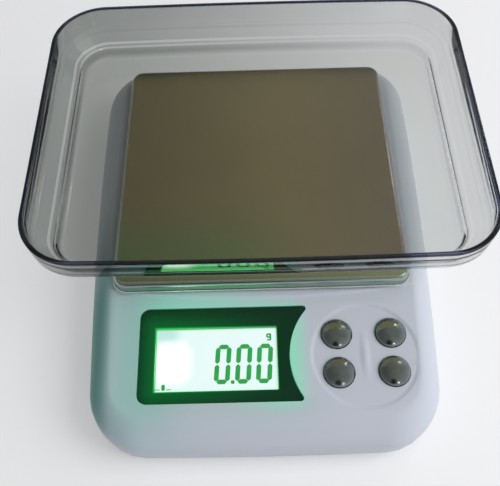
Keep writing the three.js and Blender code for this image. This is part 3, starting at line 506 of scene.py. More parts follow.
def window_outline(margin):
    """The window's outline on the panel: its right side is an arc round the key pad."""
    left = WINDOW_LEFT - margin
    top = WINDOW_TOP + margin
    bottom = WINDOW_BOTTOM - margin
    radius = WINDOW_ARC - margin
    corner = WINDOW_CORNER + margin
    reach = radius + WINDOW_TIP

    def tip_x(y):
        return PAD[0] - reach * math.cos(math.asin((y - PAD[1]) / reach))

    low = bottom + WINDOW_TIP
    high = top - WINDOW_TIP
    low_angle = math.atan2(low - PAD[1], tip_x(low) - PAD[0])
    high_angle = math.atan2(high - PAD[1], tip_x(high) - PAD[0])
    return [
        *arc((tip_x(low), low), WINDOW_TIP, -math.pi / 2, low_angle + math.pi, 8)[:-1],
        *arc(PAD, radius, low_angle + 2 * math.pi, high_angle, 28)[:-1],
        *arc((tip_x(high), high), WINDOW_TIP, high_angle - math.pi, math.pi / 2, 8),
        *arc((left + corner, top - corner), corner, math.pi / 2, math.pi, 8),
        *arc((left + corner, bottom + corner), corner, math.pi, 1.5 * math.pi, 8),
    ]


# ---------------------------------------------------------------- node groups

def give(tree, socket, value):
    """Joins a socket to another one, or sets its plain value. A colour needs no alpha."""
    if isinstance(value, bpy.types.NodeSocket):
        tree.links.new(value, socket)
    elif value is not None:
        bare_color = socket.type == "RGBA" and len(value) == 3
        socket.default_value = (*value, 1.0) if bare_color else value


def add_node(tree, kind, *values, **settings):
    """Adds a node with its settings, and gives values or sockets to its inputs in their order."""
    node = tree.nodes.new(kind)
    for name, value in settings.items():
        setattr(node, name, value)
    for socket, value in zip(node.inputs, values):
        give(tree, socket, value)
    return node


def add_named(tree, kind, inputs, **settings):
    """Adds a node with its settings, and gives values or sockets to its named inputs."""
    node = add_node(tree, kind, **settings)
    for name, value in inputs.items():
        give(tree, node.inputs[name], value)
    return node.outputs


def math_node(tree, operation, *values):
    return add_node(tree, "ShaderNodeMath", *values, operation=operation).outputs[0]


def times(tree, first, *others):
    """The product of masks and numbers."""
    for other in others:
        first = math_node(tree, "MULTIPLY", first, other)
    return first


def span(tree, value, start, end, low=0.0, high=1.0):
    """Carries a value from one range into another, softly and held at both ends."""
    kind = "ShaderNodeMapRange"
    node = add_node(tree, kind, value, start, end, low, high, interpolation_type="SMOOTHSTEP")
    return node.outputs[0]


def fade(tree, value, start, end, share=1.0):
    """A share up to the start of a range, falling softly to nothing at its end."""
    return span(tree, value, start, end, share, 0.0)


def split(tree, vector):
    """The three parts of a vector."""
    return add_node(tree, "ShaderNodeSeparateXYZ", vector).outputs


def blend(tree, amount, first, second, mode="MIX"):
    """Mixes two colours. Each is a socket or a plain colour."""
    node = add_node(tree, "ShaderNodeMix", amount, data_type="RGBA", blend_type=mode)
    give(tree, node.inputs[6], first)
    give(tree, node.inputs[7], second)
    return node.outputs[2]


def noise(tree, vector, scale, detail, distortion=0.0):
    inputs = {"Vector": vector, "Scale": scale, "Detail": detail, "Distortion": distortion}
    return add_named(tree, "ShaderNodeTexNoise", inputs)["Fac"]


def new_group(name, inputs, outputs):
    """An empty node group. An input of None is a vector, one of four numbers a colour."""
    kinds = {type(None): "Vector", tuple: "Color", float: "Float"}
    group = bpy.data.node_groups.new(name, "ShaderNodeTree")
    for label, value in inputs.items():
        kind = "NodeSocket" + kinds[type(value)]
        socket = group.interface.new_socket(name=label, in_out="INPUT", socket_type=kind)
        if value is not None:
            socket.default_value = value
    for label, kind in outputs.items():
        group.interface.new_socket(name=label, in_out="OUTPUT", socket_type="NodeSocket" + kind)
    start = add_node(group, "NodeGroupInput")
    end = add_node(group, "NodeGroupOutput")
    return group, start.outputs, end.inputs


def surface_group():
    """Soft patches of tone and gloss, and a fine grain, over any surface."""
    group, given, out = new_group(
        "surface variation",
        {
            "Vector": None,
            "Color": (0.5, 0.5, 0.5, 1.0),
            "Patch Scale": 30.0,
            "Patch Amount": 0.06,
            "Roughness": 0.4,
            "Roughness Spread": 0.08,
            "Grain Scale": GRAIN[0],
            "Grain Height": GRAIN[1],
        },
        {"Color": "Color", "Roughness": "Float", "Normal": "Vector"},
    )
    patches = noise(group, given["Vector"], given["Patch Scale"], 4.0, 0.4)
    centred = math_node(group, "SUBTRACT", patches, 0.5)
    factor = math_node(group, "ADD", times(group, centred, given["Patch Amount"], 2.0), 1.0)
    scaled = add_node(
        group, "ShaderNodeVectorMath", given["Color"], None, None, factor, operation="SCALE"
    )
    give(group, out["Color"], scaled.outputs[0])
    spread = times(group, centred, given["Roughness Spread"], 2.0)
    give(group, out["Roughness"], math_node(group, "ADD", spread, given["Roughness"]))
    grain = noise(group, given["Vector"], given["Grain Scale"], 2.0)
    relief = {"Strength": 1.0, "Distance": given["Grain Height"], "Height": grain}
    give(group, out["Normal"], add_named(group, "ShaderNodeBump", relief)["Normal"])
    return group


def scratch_group():
    """Fine straight wipe marks in two directions, as a mask."""
    group, given, out = new_group(
        "fine scratches", {"Vector": None, "Scale": 60.0, "Amount": 0.5}, {"Mask": "Float"}
    )
    marks = []
    for turn in (0.35, -0.8):
        drawn_out = add_node(
            group, "ShaderNodeMapping", given["Vector"], None, (0.0, 0.0, turn), (1.0, 26.0, 1.0)
        )
        lines = noise(group, drawn_out.outputs["Vector"], given["Scale"], 1.0, 0.2)
        marks.append(span(group, lines, 0.6, 0.74))
    either = math_node(group, "MAXIMUM", *marks)
    give(group, out["Mask"], times(group, either, given["Amount"]))
    return group


def panel_distance_group():
    """How far a place lies from an upright rectangle drawn on the panel, negative inside it."""
    group, given, out = new_group(
        "distance on the panel",
        {"Vector": None, "Middle": None, "Half Width": 0.01, "Half Height": 0.01},
        {"Distance": "Float", "Across": "Float", "Up": "Float"},
    )
    tilt = (PANEL_TILT, 0.0, 0.0)
    flat = add_node(
        group, "ShaderNodeMapping", given["Vector"], PANEL_PLACE, tilt, vector_type="TEXTURE"
    )
    offset = add_node(
        group, "ShaderNodeVectorMath", flat.outputs[0], given["Middle"], operation="SUBTRACT"
    )
    parts = split(group, offset.outputs[0])
    over = []
    for name, size in (("X", "Half Width"), ("Y", "Half Height")):
        reach = math_node(group, "ABSOLUTE", parts[name])
        over.append(math_node(group, "SUBTRACT", reach, given[size]))
    outside = [math_node(group, "MAXIMUM", value, 0.0) for value in over]
    squares = [times(group, value, value) for value in outside]
    length = math_node(group, "SQRT", math_node(group, "ADD", *squares))
    inside = math_node(group, "MINIMUM", math_node(group, "MAXIMUM", *over), 0.0)
    give(group, out["Distance"], math_node(group, "ADD", length, inside))
    give(group, out["Across"], parts["X"])
    give(group, out["Up"], parts["Y"])
    return group


SURFACE = surface_group()
SCRATCHES = scratch_group()
PANEL_DISTANCE = panel_distance_group()


# ---------------------------------------------------------------- finishes

def fresh_finish(name):
    """A new material with its tree, its shader and its own coordinates."""
    finish = bpy.data.materials.new(name)
    finish.use_nodes = True
    tree = finish.node_tree
    vector = add_node(tree, "ShaderNodeTexCoord").outputs["Object"]
    return finish, tree, tree.nodes["Principled BSDF"], vector


def put_group(tree, group, vector, inputs):
    """Places a node group and sets its named inputs."""
    return add_named(tree, "ShaderNodeGroup", {"Vector": vector, **inputs}, node_tree=group)


def vary(tree, shader, vector, color, roughness, patch, spread, grain):
    """Gives a shader uneven tone, uneven gloss and a fine grain."""
    tones = {"Color": color, "Patch Scale": patch[0], "Patch Amount": patch[1]}
    gloss = {"Roughness": roughness, "Roughness Spread": spread}
    relief = {"Grain Scale": grain[0], "Grain Height": grain[1]}
    surface = put_group(tree, SURFACE, vector, {**tones, **gloss, **relief})
    for name, target in (("Color", "Base Color"), ("Roughness", "Roughness"), ("Normal", "Normal")):
        tree.links.new(surface[name], shader.inputs[target])


def scratched(tree, vector, roughness, scale, amount):
    """A roughness that rises along fine scratches."""
    scratches = put_group(tree, SCRATCHES, vector, {"Scale": scale, "Amount": amount})
    return math_node(tree, "ADD", scratches["Mask"], roughness)


def panel_place(tree, vector, middle, width, height):
    """Where a place lies about an upright rectangle on the panel: Distance, Across and Up."""
    inputs = {"Middle": (*middle, 0.0), "Half Width": width / 2, "Half Height": height / 2}
    return put_group(tree, PANEL_DISTANCE, vector, inputs)


def light_up(tree, shader, color):
    """Lets a shader give off a colour of its own."""
    tree.links.new(color, shader.inputs["Emission Color"])
    shader.inputs["Emission Strength"].default_value = 1.0


def let_through(tree, shader, share, color):
    """Lets a share of the light straight through a material, in a colour."""
    clear = add_node(tree, "ShaderNodeBsdfTransparent", color)
    mixed = add_node(tree, "ShaderNodeMixShader", share, shader.outputs[0], clear.outputs[0])
    tree.links.new(mixed.outputs[0], tree.nodes["Material Output"].inputs["Surface"])


def varied_finish(name, color, roughness, metallic, coat, *variation):
    """A finish of one colour with uneven tone, uneven gloss and a fine grain."""
    finish, tree, shader, vector = fresh_finish(name)
    vary(tree, shader, vector, color, roughness, variation[:2], 0.08, variation[2:])
    shader.inputs["Metallic"].default_value = metallic
    shader.inputs["Coat Weight"].default_value = coat
    return finish


def painted_display_light_and_shade(tree, vector):
    """Masks of the display's light painted on the body: to each side, over the window, round its left
    and down the left flank, where painted shade goes with it."""
    middle = ((WINDOW_LEFT + LIT_RIGHT) / 2, (WINDOW_TOP + WINDOW_BOTTOM) / 2)
    lit_rise = WINDOW_RISE - LIT_MARGIN
    window = panel_place(tree, vector, middle, LIT_RIGHT - WINDOW_LEFT, 2 * lit_rise)
    away, across, up = window["Distance"], window["Across"], window["Up"]
    above = span(tree, split(tree, vector)["Z"], PARTING_Z, SHOULDER_Z + 0.006)
    leftwards = span(tree, across, -0.002, -0.03)
    below = span(tree, up, -lit_rise, -WINDOW_RISE, 0.0, 0.6)
    over_window = times(
        tree,
        span(tree, up, lit_rise, WINDOW_RISE),
        span(tree, across, 0.032, -0.003),
        span(tree, across, -0.04, -0.014),
    )
    masks = {
        "left": (0.0, 0.045, leftwards),
        "right": (0.0, 0.011, span(tree, across, 0.0, 0.03)),
        "top": (0.004, 0.016, over_window),
        "side": (0.0, 0.02, math_node(tree, "MAXIMUM", leftwards, below)),
        "flank": (0.0, 0.075, span(tree, across, -0.042, -0.052)),
    }
    return {
        place: times(tree, fade(tree, away, near, far), above, mask)
        for place, (near, far, mask) in masks.items()
    }


def white_plastic_finish():
    """White moulded plastic with the display's green light painted on it as tint and glow, and painted
    shade down its left flank.
    """
    finish, tree, shader, vector = fresh_finish("white moulded plastic")
    light = painted_display_light_and_shade(tree, vector)
    tone = (0.7, 0.74, 0.815)
    # Painted light: green tints of the display's light beside, above and round the window; painted shade
    # with green in it down the left flank
    for place, amount, color in (
        ("left", 0.5, (0.36, 0.56, 0.56)),
        ("right", 0.75, (0.3, 0.68, 0.5)),
        ("top", 0.55, (0.3, 0.72, 0.52)),
        ("side", 0.45, (0.3, 0.72, 0.52)),
        ("flank", 1.0, (0.02, 0.24, 0.18)),
    ):
        tone = blend(tree, times(tree, light[place], amount), tone, color)
    vary(tree, shader, vector, tone, 0.42, (22.0, 0.02), 0.06, (3200.0, 0.000004))
    # Painted glow of the display's light on the plastic, right of the window, round its left and above it
    glow = (0.0, 0.0, 0.0)
    for place, color in (
        ("right", (0.01, 0.21, 0.11)),
        ("left", (0.0, 0.03, 0.022)),
        ("top", (0.0, 0.15, 0.09)),
    ):
        glow = blend(tree, light[place], glow, color, "ADD")
    light_up(tree, shader, glow)
    shader.inputs["Specular IOR Level"].default_value = 0.35
    return finish


def window_finish():
    """Dark polished window border, with the display's green light painted on it as a glow from the
    display's edges.
    """
    finish, tree, shader, vector = fresh_finish("dark window border")
    view = panel_place(tree, vector, VIEW_MIDDLE, VIEW_WIDTH, VIEW_HEIGHT)
    leftwards = span(tree, view["Across"], 0.032, -0.03, 0.1, 1.0)
    close = times(tree, fade(tree, view["Distance"], 0.0, 0.0008), leftwards)
    around = times(tree, fade(tree, view["Distance"], -0.0004, 0.011), leftwards)
    roughness = scratched(tree, vector, 0.07, 90.0, 0.05)
    dark = (0.003, 0.014, 0.006)
    vary(tree, shader, vector, dark, roughness, (60.0, 0.1), 0.02, (1500.0, 0.000001))
    # Painted glow of the display's light on the border, strongest close to the display and towards the
    # left
    glow = blend(tree, around, (0.0, 0.014, 0.006), (0.0, 0.1, 0.02))
    light_up(tree, shader, blend(tree, close, glow, (0.01, 0.34, 0.07)))
    shader.inputs["Specular IOR Level"].default_value = 0.2
    return finish


def lit_display_finish():
    """The backlit display: pale green-white, brightest at its lamp on the left."""
    finish, tree, shader, vector = fresh_finish("lit display")
    across, up = VIEW_MIDDLE
    view = panel_place(tree, vector, VIEW_MIDDLE, VIEW_WIDTH, VIEW_HEIGHT)
    lamp = panel_place(tree, vector, (across - 0.019, up - 0.001), 0.004, 0.006)
    corner = panel_place(tree, vector, (across - 0.022, up + 0.012), 0.004, 0.002)
    vary(tree, shader, vector, (0.1, 0.16, 0.12), 0.18, (40.0, 0.1), 0.04, (2600.0, 0.000002))
    hot = fade(tree, lamp["Distance"], 0.0, 0.009)
    teal = fade(tree, corner["Distance"], 0.0, 0.007, 0.75)
    shown = blend(tree, noise(tree, vector, 55.0, 2.0), (0.7, 0.83, 0.84), (0.78, 0.9, 0.89))
    shown = blend(tree, teal, shown, (0.38, 0.66, 0.62))
    shown = blend(tree, hot, shown, (1.3, 1.3, 1.3))
    shown = blend(tree, span(tree, view["Distance"], -0.0009, 0.0), shown, (0.3, 0.75, 0.4))
    # Painted reflection: seen in mirrors the display gives off a far stronger, greener glow than it shows
    # straight on
    mirrored = blend(tree, hot, (0.45, 3.4, 0.75), (5.0, 7.0, 5.0))
    light_path = add_node(tree, "ShaderNodeLightPath").outputs
    light_up(tree, shader, blend(tree, light_path["Is Glossy Ray"], shown, mirrored))
    return finish


def figure_finish():
    """Display segments, dark crystal lit green from behind."""
    finish, tree, shader, vector = fresh_finish("display segments")
    vary(tree, shader, vector, (0.02, 0.1, 0.03), 0.2, (30.0, 0.06), 0.08, GRAIN)
    cloud = noise(tree, vector, 220.0, 2.0)
    light_up(tree, shader, blend(tree, cloud, (0.01, 0.24, 0.04), (0.025, 0.34, 0.07)))
    return finish


def smoked_finish():
    """Clear smoked plastic with painted shade deepening towards its left side, and lines of painted shade
    and a painted highlight along its ledge and under its band.
    """
    finish, tree, shader, vector = fresh_finish("smoked clear plastic")
    place = split(tree, vector)
    # Painted shade: the tone deepens from the right towards the left, and at the left the walls are darker
    # than the floor
    across = span(tree, place["X"], -0.1, 0.1)
    height = math_node(tree, "SUBTRACT", place["Z"], TRAY_Z)
    walls = span(tree, height, TRAY_FLOOR + 0.0002, TRAY_FLOOR + 0.001)
    shaded_left_tone = blend(tree, walls, (0.41, 0.43, 0.41), (0.33, 0.35, 0.33))
    lit_right_tone = blend(tree, walls, (0.655, 0.675, 0.665), (0.675, 0.685, 0.685))
    tone = blend(tree, across, shaded_left_tone, lit_right_tone)
    fading = math_node(tree, "SUBTRACT", 1.0, times(tree, across, 0.75))
    band_low = TRAY_HEIGHT - TRAY_BAND
    ledge_low = band_low - TRAY_LEDGE_DROP
    # Painted lines along the bends, fading to the right: painted shade on the wall under the ledge, a
    # painted highlight on the ledge just above, painted shade under the band
    for level, reach, color, amount in (
        (ledge_low - 0.0018, 0.0026, (0.24, 0.24, 0.22), 0.7),
        (ledge_low + 0.0014, 0.0006, (0.98, 0.98, 0.98), 0.8),
        (band_low - 0.0002, 0.0006, (0.28, 0.29, 0.28), 0.5),
    ):
        away = math_node(tree, "ABSOLUTE", math_node(tree, "SUBTRACT", height, level))
        line = fade(tree, away, reach * 0.4, reach, amount)
        tone = blend(tree, times(tree, line, fading), tone, color)
    rim = span(tree, height, TRAY_HEIGHT - 0.0009, TRAY_HEIGHT - 0.0003)
    tone = blend(tree, rim, tone, (0.025, 0.028, 0.075))
    roughness = scratched(tree, vector, 0.02, 40.0, 0.05)
    vary(tree, shader, vector, tone, roughness, (18.0, 0.04), 0.02, (160.0, 0.000008))
    shader.inputs["Transmission Weight"].default_value = 1.0
    shader.inputs["IOR"].default_value = 1.49
    light_path = add_node(tree, "ShaderNodeLightPath").outputs
    passing = math_node(tree, "MAXIMUM", light_path["Is Shadow Ray"], light_path["Is Diffuse Ray"])
    let_through(tree, shader, passing, (0.88, 0.89, 0.88))
    return finish


def satin_steel_finish():
    """Satin rolled steel with wipe marks, cooler at the right, with a painted reflection of the display's
    green light at the front left and a painted highlight along its hem.
    """
    finish, tree, shader, vector = fresh_finish("satin pan steel")
    place = split(tree, vector)
    front = PAN_Y - PAN_HALF
    top = span(tree, place["Z"], PAN_TOP - 0.0012, PAN_TOP - 0.0001)
    tone = blend(tree, top, (0.27, 0.26, 0.23), (0.5, 0.46, 0.37))
    tone = blend(tree, span(tree, place["X"], 0.0, PAN_HALF), tone, (0.34, 0.315, 0.34))
    # Painted reflection of the display's green light over the front left of the top, and along the front
    # edge
    near_front = span(tree, place["Y"], front + 0.05, front + 0.008)
    green = times(tree, near_front, span(tree, place["X"], 0.03, -0.02))
    tone = blend(tree, green, tone, (0.34, 0.525, 0.35))
    tone = blend(tree, span(tree, place["Y"], front + 0.009, front + 0.004), tone, (0.36, 0.44, 0.38))
    # Painted highlight along the hem
    hem = span(tree, place["Z"], PAN_HEM_Z + 2 * PAN_HEM, PAN_HEM_Z + PAN_HEM)
    tone = blend(tree, hem, tone, (0.85, 0.86, 0.82))
    roughness = scratched(tree, vector, 0.22, 50.0, 0.02)
    vary(tree, shader, vector, tone, roughness, (14.0, 0.05), 0.06, (1800.0, 0.000006))
    shader.inputs["Metallic"].default_value = 1.0
    return finish


LIT_DISPLAY = lit_display_finish()
FIGURES = figure_finish()
FINISHES = {
    "white_plastic": white_plastic_finish(),
    "window_plastic": window_finish(),
    "pan_steel": satin_steel_finish(),
    "smoked_plastic": smoked_finish(),
}
# Slot, name, colour, roughness, metallic, coat, and scale and strength of its patches and its grain
for slot, *look in (
    ("lcd_glass", "display glass", (0.5, 0.75, 0.58), 0.1, 0.0, 0.4, 50.0, 0.08, *GRAIN),
    ("chromed", "chromed dome", (0.25, 0.285, 0.26), 0.17, 1.0, 0.0, 260.0, 0.3, 900.0, 0.00003),
    ("inner_plastic", "plain inner plastic", (0.62, 0.63, 0.67), 0.45, 0.0, 0.0, 35.0, 0.05, *GRAIN),
    ("guide_acrylic", "frosted light guide", (0.78, 0.88, 0.8), 0.5, 0.0, 0.0, 70.0, 0.06, *GRAIN),
    ("black_rubber", "black rubber", (0.022, 0.022, 0.023), 0.75, 0.0, 0.0, 120.0, 0.2, 1400.0, 0.00004),
    ("grey_rubber", "grey silicone rubber", (0.3, 0.31, 0.32), 0.6, 0.0, 0.0, 90.0, 0.1, 1600.0, 0.00003),
    ("cell_aluminium", "milled aluminium", (0.72, 0.73, 0.74), 0.32, 1.0, 0.0, 60.0, 0.08, 900.0, 0.00002),
    ("zinc_steel", "zinc plated steel", (0.62, 0.62, 0.58), 0.3, 1.0, 0.0, 200.0, 0.15, 1500.0, 0.00001),
    ("board_laminate", "board laminate", (0.02, 0.13, 0.05), 0.35, 0.0, 0.3, 150.0, 0.25, 800.0, 0.00002),
    ("battery_sleeve", "battery sleeve", (0.05, 0.06, 0.08), 0.28, 0.3, 0.0, 80.0, 0.1, *GRAIN),
    ("red_jacket", "red wire jacket", (0.42, 0.02, 0.02), 0.42, 0.0, 0.0, 200.0, 0.12, *GRAIN),
    ("black_jacket", "black wire jacket", (0.016, 0.016, 0.017), 0.45, 0.0, 0.0, 200.0, 0.15, *GRAIN),
    ("grey_jacket", "grey wire jacket", (0.2, 0.21, 0.22), 0.45, 0.0, 0.0, 200.0, 0.12, *GRAIN),
):
    FINISHES[slot] = varied_finish(*look)


# ---------------------------------------------------------------- pieces

def on_frame(x, y, z):
    return Vector((x, y + PAN_Y, z))


def panel_point(x, up, out=0.0):
    return PANEL @ Vector((x, up, out))


def inside_polygon(x, y, polygon):
    hit = False
    for (ax, ay), (bx, by) in zip(polygon, polygon[1:] + polygon[:1]):
        if (ay > y) != (by > y) and x < ax + (bx - ax) * (y - ay) / (by - ay):
            hit = not hit
    return hit


def moulded_height(x, y):
    """Height of the moulded top about the pan's middle, with the dish of the key pad in it."""
    middle = panel_point(*PAD)
    reach = math.hypot(x - middle.x, y + PAN_Y - middle.y)
    share = (reach - PAD_FLOOR_RADIUS) / (PAD_RADIUS - PAD_FLOOR_RADIUS)
    return top_height(x, y) - PAD_DEPTH * (1 - smoothstep(share))


def crease_rows(within):
    """Rows along the edge of the deck's bulge, from outside it inwards."""
    low, high = BULGE_RAMP
    for share in (-0.4, 0.0, 0.15, 0.3, 0.45, 0.6, 0.75, 0.9, 1.0, 1.4):
        inward = low + (high - low) * share
        row = []
        for i in range(161):
            angle = math.pi * (1 + i / 160)
            x = (BULGE_HALF_WIDTH - inward) * math.cos(angle)
            y = BULGE_Y + (BULGE_DEPTH - inward) * math.sin(angle)
            if inside_polygon(x, y + PAN_Y, within):
                row.append(on_frame(x, y, top_height(x, y, inward)))
        yield row, False


def pad_rows(within):
    """Rings down into the key pad's dish, then up its ridge to the ridge's top."""
    slope = PAD_RADIUS - PAD_FLOOR_RADIUS
    for share in (-0.15, 0.0, 0.12, 0.28, 0.42, 0.58, 0.72, 0.88, 1.0, 1.2):
        depth = PAD_DEPTH * (1 - smoothstep(share))
        ring = circle(PAD, PAD_FLOOR_RADIUS + slope * share, 96)
        row = [panel_point(x, up, -depth) for x, up in ring]
        kept = [place for place in row if inside_polygon(place.x, place.y, within)]
        yield kept, len(kept) == len(row)
    for share in (1.08, 1.0, 0.88, 0.74, 0.58, 0.4, 0.2):
        height = RIDGE_HEIGHT * (0.5 + 0.5 * math.cos(math.pi * min(1.0, share)))
        ring = [
            (PAD[0] + RIDGE_HALF_WIDTH * share * x, PAD[1] + RIDGE_HALF_LENGTH * share * y)
            for x, y in circle((0.0, 0.0), 1.0, 40)
        ]
        yield [panel_point(x, up, height - PAD_DEPTH) for x, up in ring], True
    yield [panel_point(*PAD, RIDGE_HEIGHT - PAD_DEPTH)], False


def opening_rows():
    """Outlines of the key wells, of the window and of the opening under the pan."""
    for side in (-1, 1):
        for up in KEY_ROWS:
            ring = circle((PAD[0] + side * KEY_ACROSS, up), KEY_RADIUS + GAP, 48)
            yield [panel_point(x, y, -PAD_DEPTH) for x, y in ring]
    yield [panel_point(x, up) for x, up in window_outline(GAP)]
    left, right = -OPENING_HALF_WIDTH, OPENING_HALF_WIDTH
    front, back = OPENING_FRONT, OPENING_BACK
    corners = ((left, front), (right, front), (right, back), (left, back))
    yield [on_frame(x, y, DECK_Z) for x, y in corners]


def make_housing():
    """The moulded upper body: one sheet with its relief, drawn over the shoulder to the parting."""
    rim, guard, limit = (body_outline(SHOULDER_RUN + inset) for inset in (0.0, 0.0006, 0.0009))
    within = [(x, y + PAN_Y) for x, y in limit]
    openings = list(opening_rows())
    rows = [([on_frame(x, y, moulded_height(x, y)) for x, y in row], True) for row in (rim, guard)]
    rows += [*crease_rows(within), *pad_rows(within), *((row, True) for row in openings)]
    points = []
    edges = []
    for row, closed in rows:
        start = len(points)
        points.extend(row)
        edges.extend((start + i, start + i + 1) for i in range(len(row) - 1))
        if closed:
            edges.append((len(points) - 1, start))
    holes = [[(p.x, p.y) for p in row] for row in openings]

    flat = [Vector((p.x, p.y)) for p in points]
    found, _, triangles, sources, _, _ = geometry.delaunay_2d_cdt(flat, edges, [], 1, 1e-9)
    places = []
    for spot, source in zip(found, sources):
        z = points[source[0]].z if source else moulded_height(spot.x, spot.y - PAN_Y)
        places.append(Vector((spot.x, spot.y, z)))
    where = {source: i for i, sources_here in enumerate(sources) for source in sources_here}
    faces = []
    for triangle in triangles:
        middle = sum((places[i] for i in triangle), Vector()) / 3
        if not any(inside_polygon(middle.x, middle.y, hole) for hole in holes):
            faces.append(tuple(triangle))

    before = [where[i] for i in range(len(rim))]
    for inset, rise in shoulder_rings():
        row = [
            on_frame(x, y, SHOULDER_Z + (moulded_height(x, y) - SHOULDER_Z) * rise)
            for x, y in body_outline(inset)
        ]
        before = extend_skirt(places, faces, before, row)
    for inset, height in ((0.0, WAIST_Z), (TUCK, PARTING_Z)):
        row = [on_frame(x, y, height) for x, y in body_outline(inset)]
        before = extend_skirt(places, faces, before, row)

    piece = from_faces("housing_skin", places, faces)
    recalculate_sheet(piece)
    apply_modifier(piece, "SOLIDIFY", thickness=WALL, offset=-1.0)
    smooth(piece, 38)
    return piece


def shoulder_rings():
    """Insets and shares of the shoulder's height, from under the deck to the waist."""
    for step in range(1, SHOULDER_STEPS + 1):
        rise = math.cos(math.pi / 2 * step / SHOULDER_STEPS) ** 0.9
        out = (1 - rise**SHOULDER_POWER) ** (1 / SHOULDER_POWER)
        yield WAIST_LEAN + (SHOULDER_RUN - WAIST_LEAN) * (1 - out), rise


def extend_skirt(places, faces, before, row):
    """Joins a new row of places to the one before it, and tells where the new row lies."""
    start = len(places)
    places.extend(row)
    count = len(before)
    for i in range(count):
        j = (i + 1) % count
        faces.append((before[j], before[i], start + i, start + j))
    return list(range(start, start + count))


def recalculate_sheet(piece):
    """Turns an open sheet's faces the same way round, outwards."""
    recalculate(piece)
    highest = max(piece.data.polygons, key=lambda face: face.center.z)
    if highest.normal.z < 0:
        edit(piece)
        bpy.ops.mesh.flip_normals()
        leave_edit()


def make_window():
    """The dark window border with its opening over the display."""
    places = [(x, y, -WINDOW_THICK) for x, y in window_outline(0.0)]
    piece = from_faces("window_border", places, [tuple(range(len(places)))])
    edit(piece)
    extrude(0, 0, WINDOW_THICK)
    leave_edit()
    recalculate(piece)
    size = (VIEW_WIDTH, VIEW_HEIGHT, VIEW_CORNER)
    subtract(piece, slab("window_opening", *size, -0.004, 0.004, *VIEW_MIDDLE, 4))
    soften(piece, 0.00022)
    put_on_panel(piece)
    smooth(piece)
    return piece


def make_pane():
    """The display's lit front pane, just under the window."""
    size = (VIEW_WIDTH - 2 * PANE_GAP, VIEW_HEIGHT - 2 * PANE_GAP, VIEW_CORNER - PANE_GAP)
    piece = slab("display_pane", *size, PANE_TOP - PANE_THICK, PANE_TOP, *VIEW_MIDDLE, 3)
    soften(piece, 0.0001, 1)
    put_on_panel(piece)
    smooth(piece)
    return piece


def mark(width, length, corner, x, up, steps):
    """A thin plate on the display."""
    return slab("mark", width, length, corner, PANE_TOP, PANE_TOP + FIGURE_THICK, x, up, steps)


def bar(x, up, length, upright):
    """One display segment with pointed ends."""
    long = length - 2 * FIGURE_GAP
    size = (FIGURE_BAR, long) if upright else (long, FIGURE_BAR)
    return mark(*size, FIGURE_BAR * 0.4, x, up, 1)


def make_figures():
    """The figures 0.00, a unit mark and a small rest mark."""
    bars = []
    inner = FIGURE_WIDTH - FIGURE_BAR
    tall = (FIGURE_HEIGHT - FIGURE_BAR) / 2
    low = FIGURE_BOTTOM + FIGURE_BAR / 2
    for left in FIGURE_LEFTS:
        middle = left + FIGURE_WIDTH / 2
        for row in (0, 2):
            bars.append(bar(middle, low + row * tall, inner, False))
        for side in (-1, 1):
            for row in (0.5, 1.5):
                bars.append(bar(middle + side * inner / 2, low + row * tall, tall, True))
    figures = joined("readout", bars)
    for vertex in figures.data.vertices:
        vertex.co.x += (vertex.co.y - FIGURE_BOTTOM) * FIGURE_SLANT
    point = mark(*POINT)
    top = PANE_TOP + FIGURE_THICK
    corners = ((UNIT_HOLE, PANE_TOP), (UNIT_RING, PANE_TOP), (UNIT_RING, top), (UNIT_HOLE, top))
    ring = turned("unit_ring", [*corners, corners[0]], 20)
    shift(ring, *UNIT_PLACE)
    plates = [mark(*size) for size in (UNIT_STEM, UNIT_HOOK, REST_DROP, *REST_DASHES)]
    piece = joined("display_figures", [figures, point, ring, *plates])
    put_on_panel(piece)
    return piece


def make_key(name, x, up):
    """A chromed dome on its flange and stem."""
    ball = (KEY_RADIUS**2 + KEY_DOME**2) / (2 * KEY_DOME)
    spread = math.asin(KEY_RADIUS / ball)
    flange = KEY_RADIUS + KEY_FLANGE
    profile = [
        (0.0, KEY_STEM_END),
        (KEY_STEM, KEY_STEM_END),
        (KEY_STEM, KEY_FLANGE_TOP - 0.001),
        (flange, KEY_FLANGE_TOP - 0.001),
        (flange, KEY_FLANGE_TOP),
        (KEY_RADIUS, KEY_FLANGE_TOP),
        (KEY_RADIUS, KEY_RISE - 0.0004),
        (KEY_RADIUS - 0.00006, KEY_RISE - 0.00005),
    ]
    for step in range(1, 15):
        angle = spread * (1 - step / 15)
        profile.append((ball * math.sin(angle), KEY_RISE + KEY_DOME - ball * (1 - math.cos(angle))))
    profile.append((0.0, KEY_RISE + KEY_DOME))
    piece = turned(name, profile, 64)
    shift(piece, x, up)
    put_on_panel(piece)
    smooth(piece, 30)
    return piece


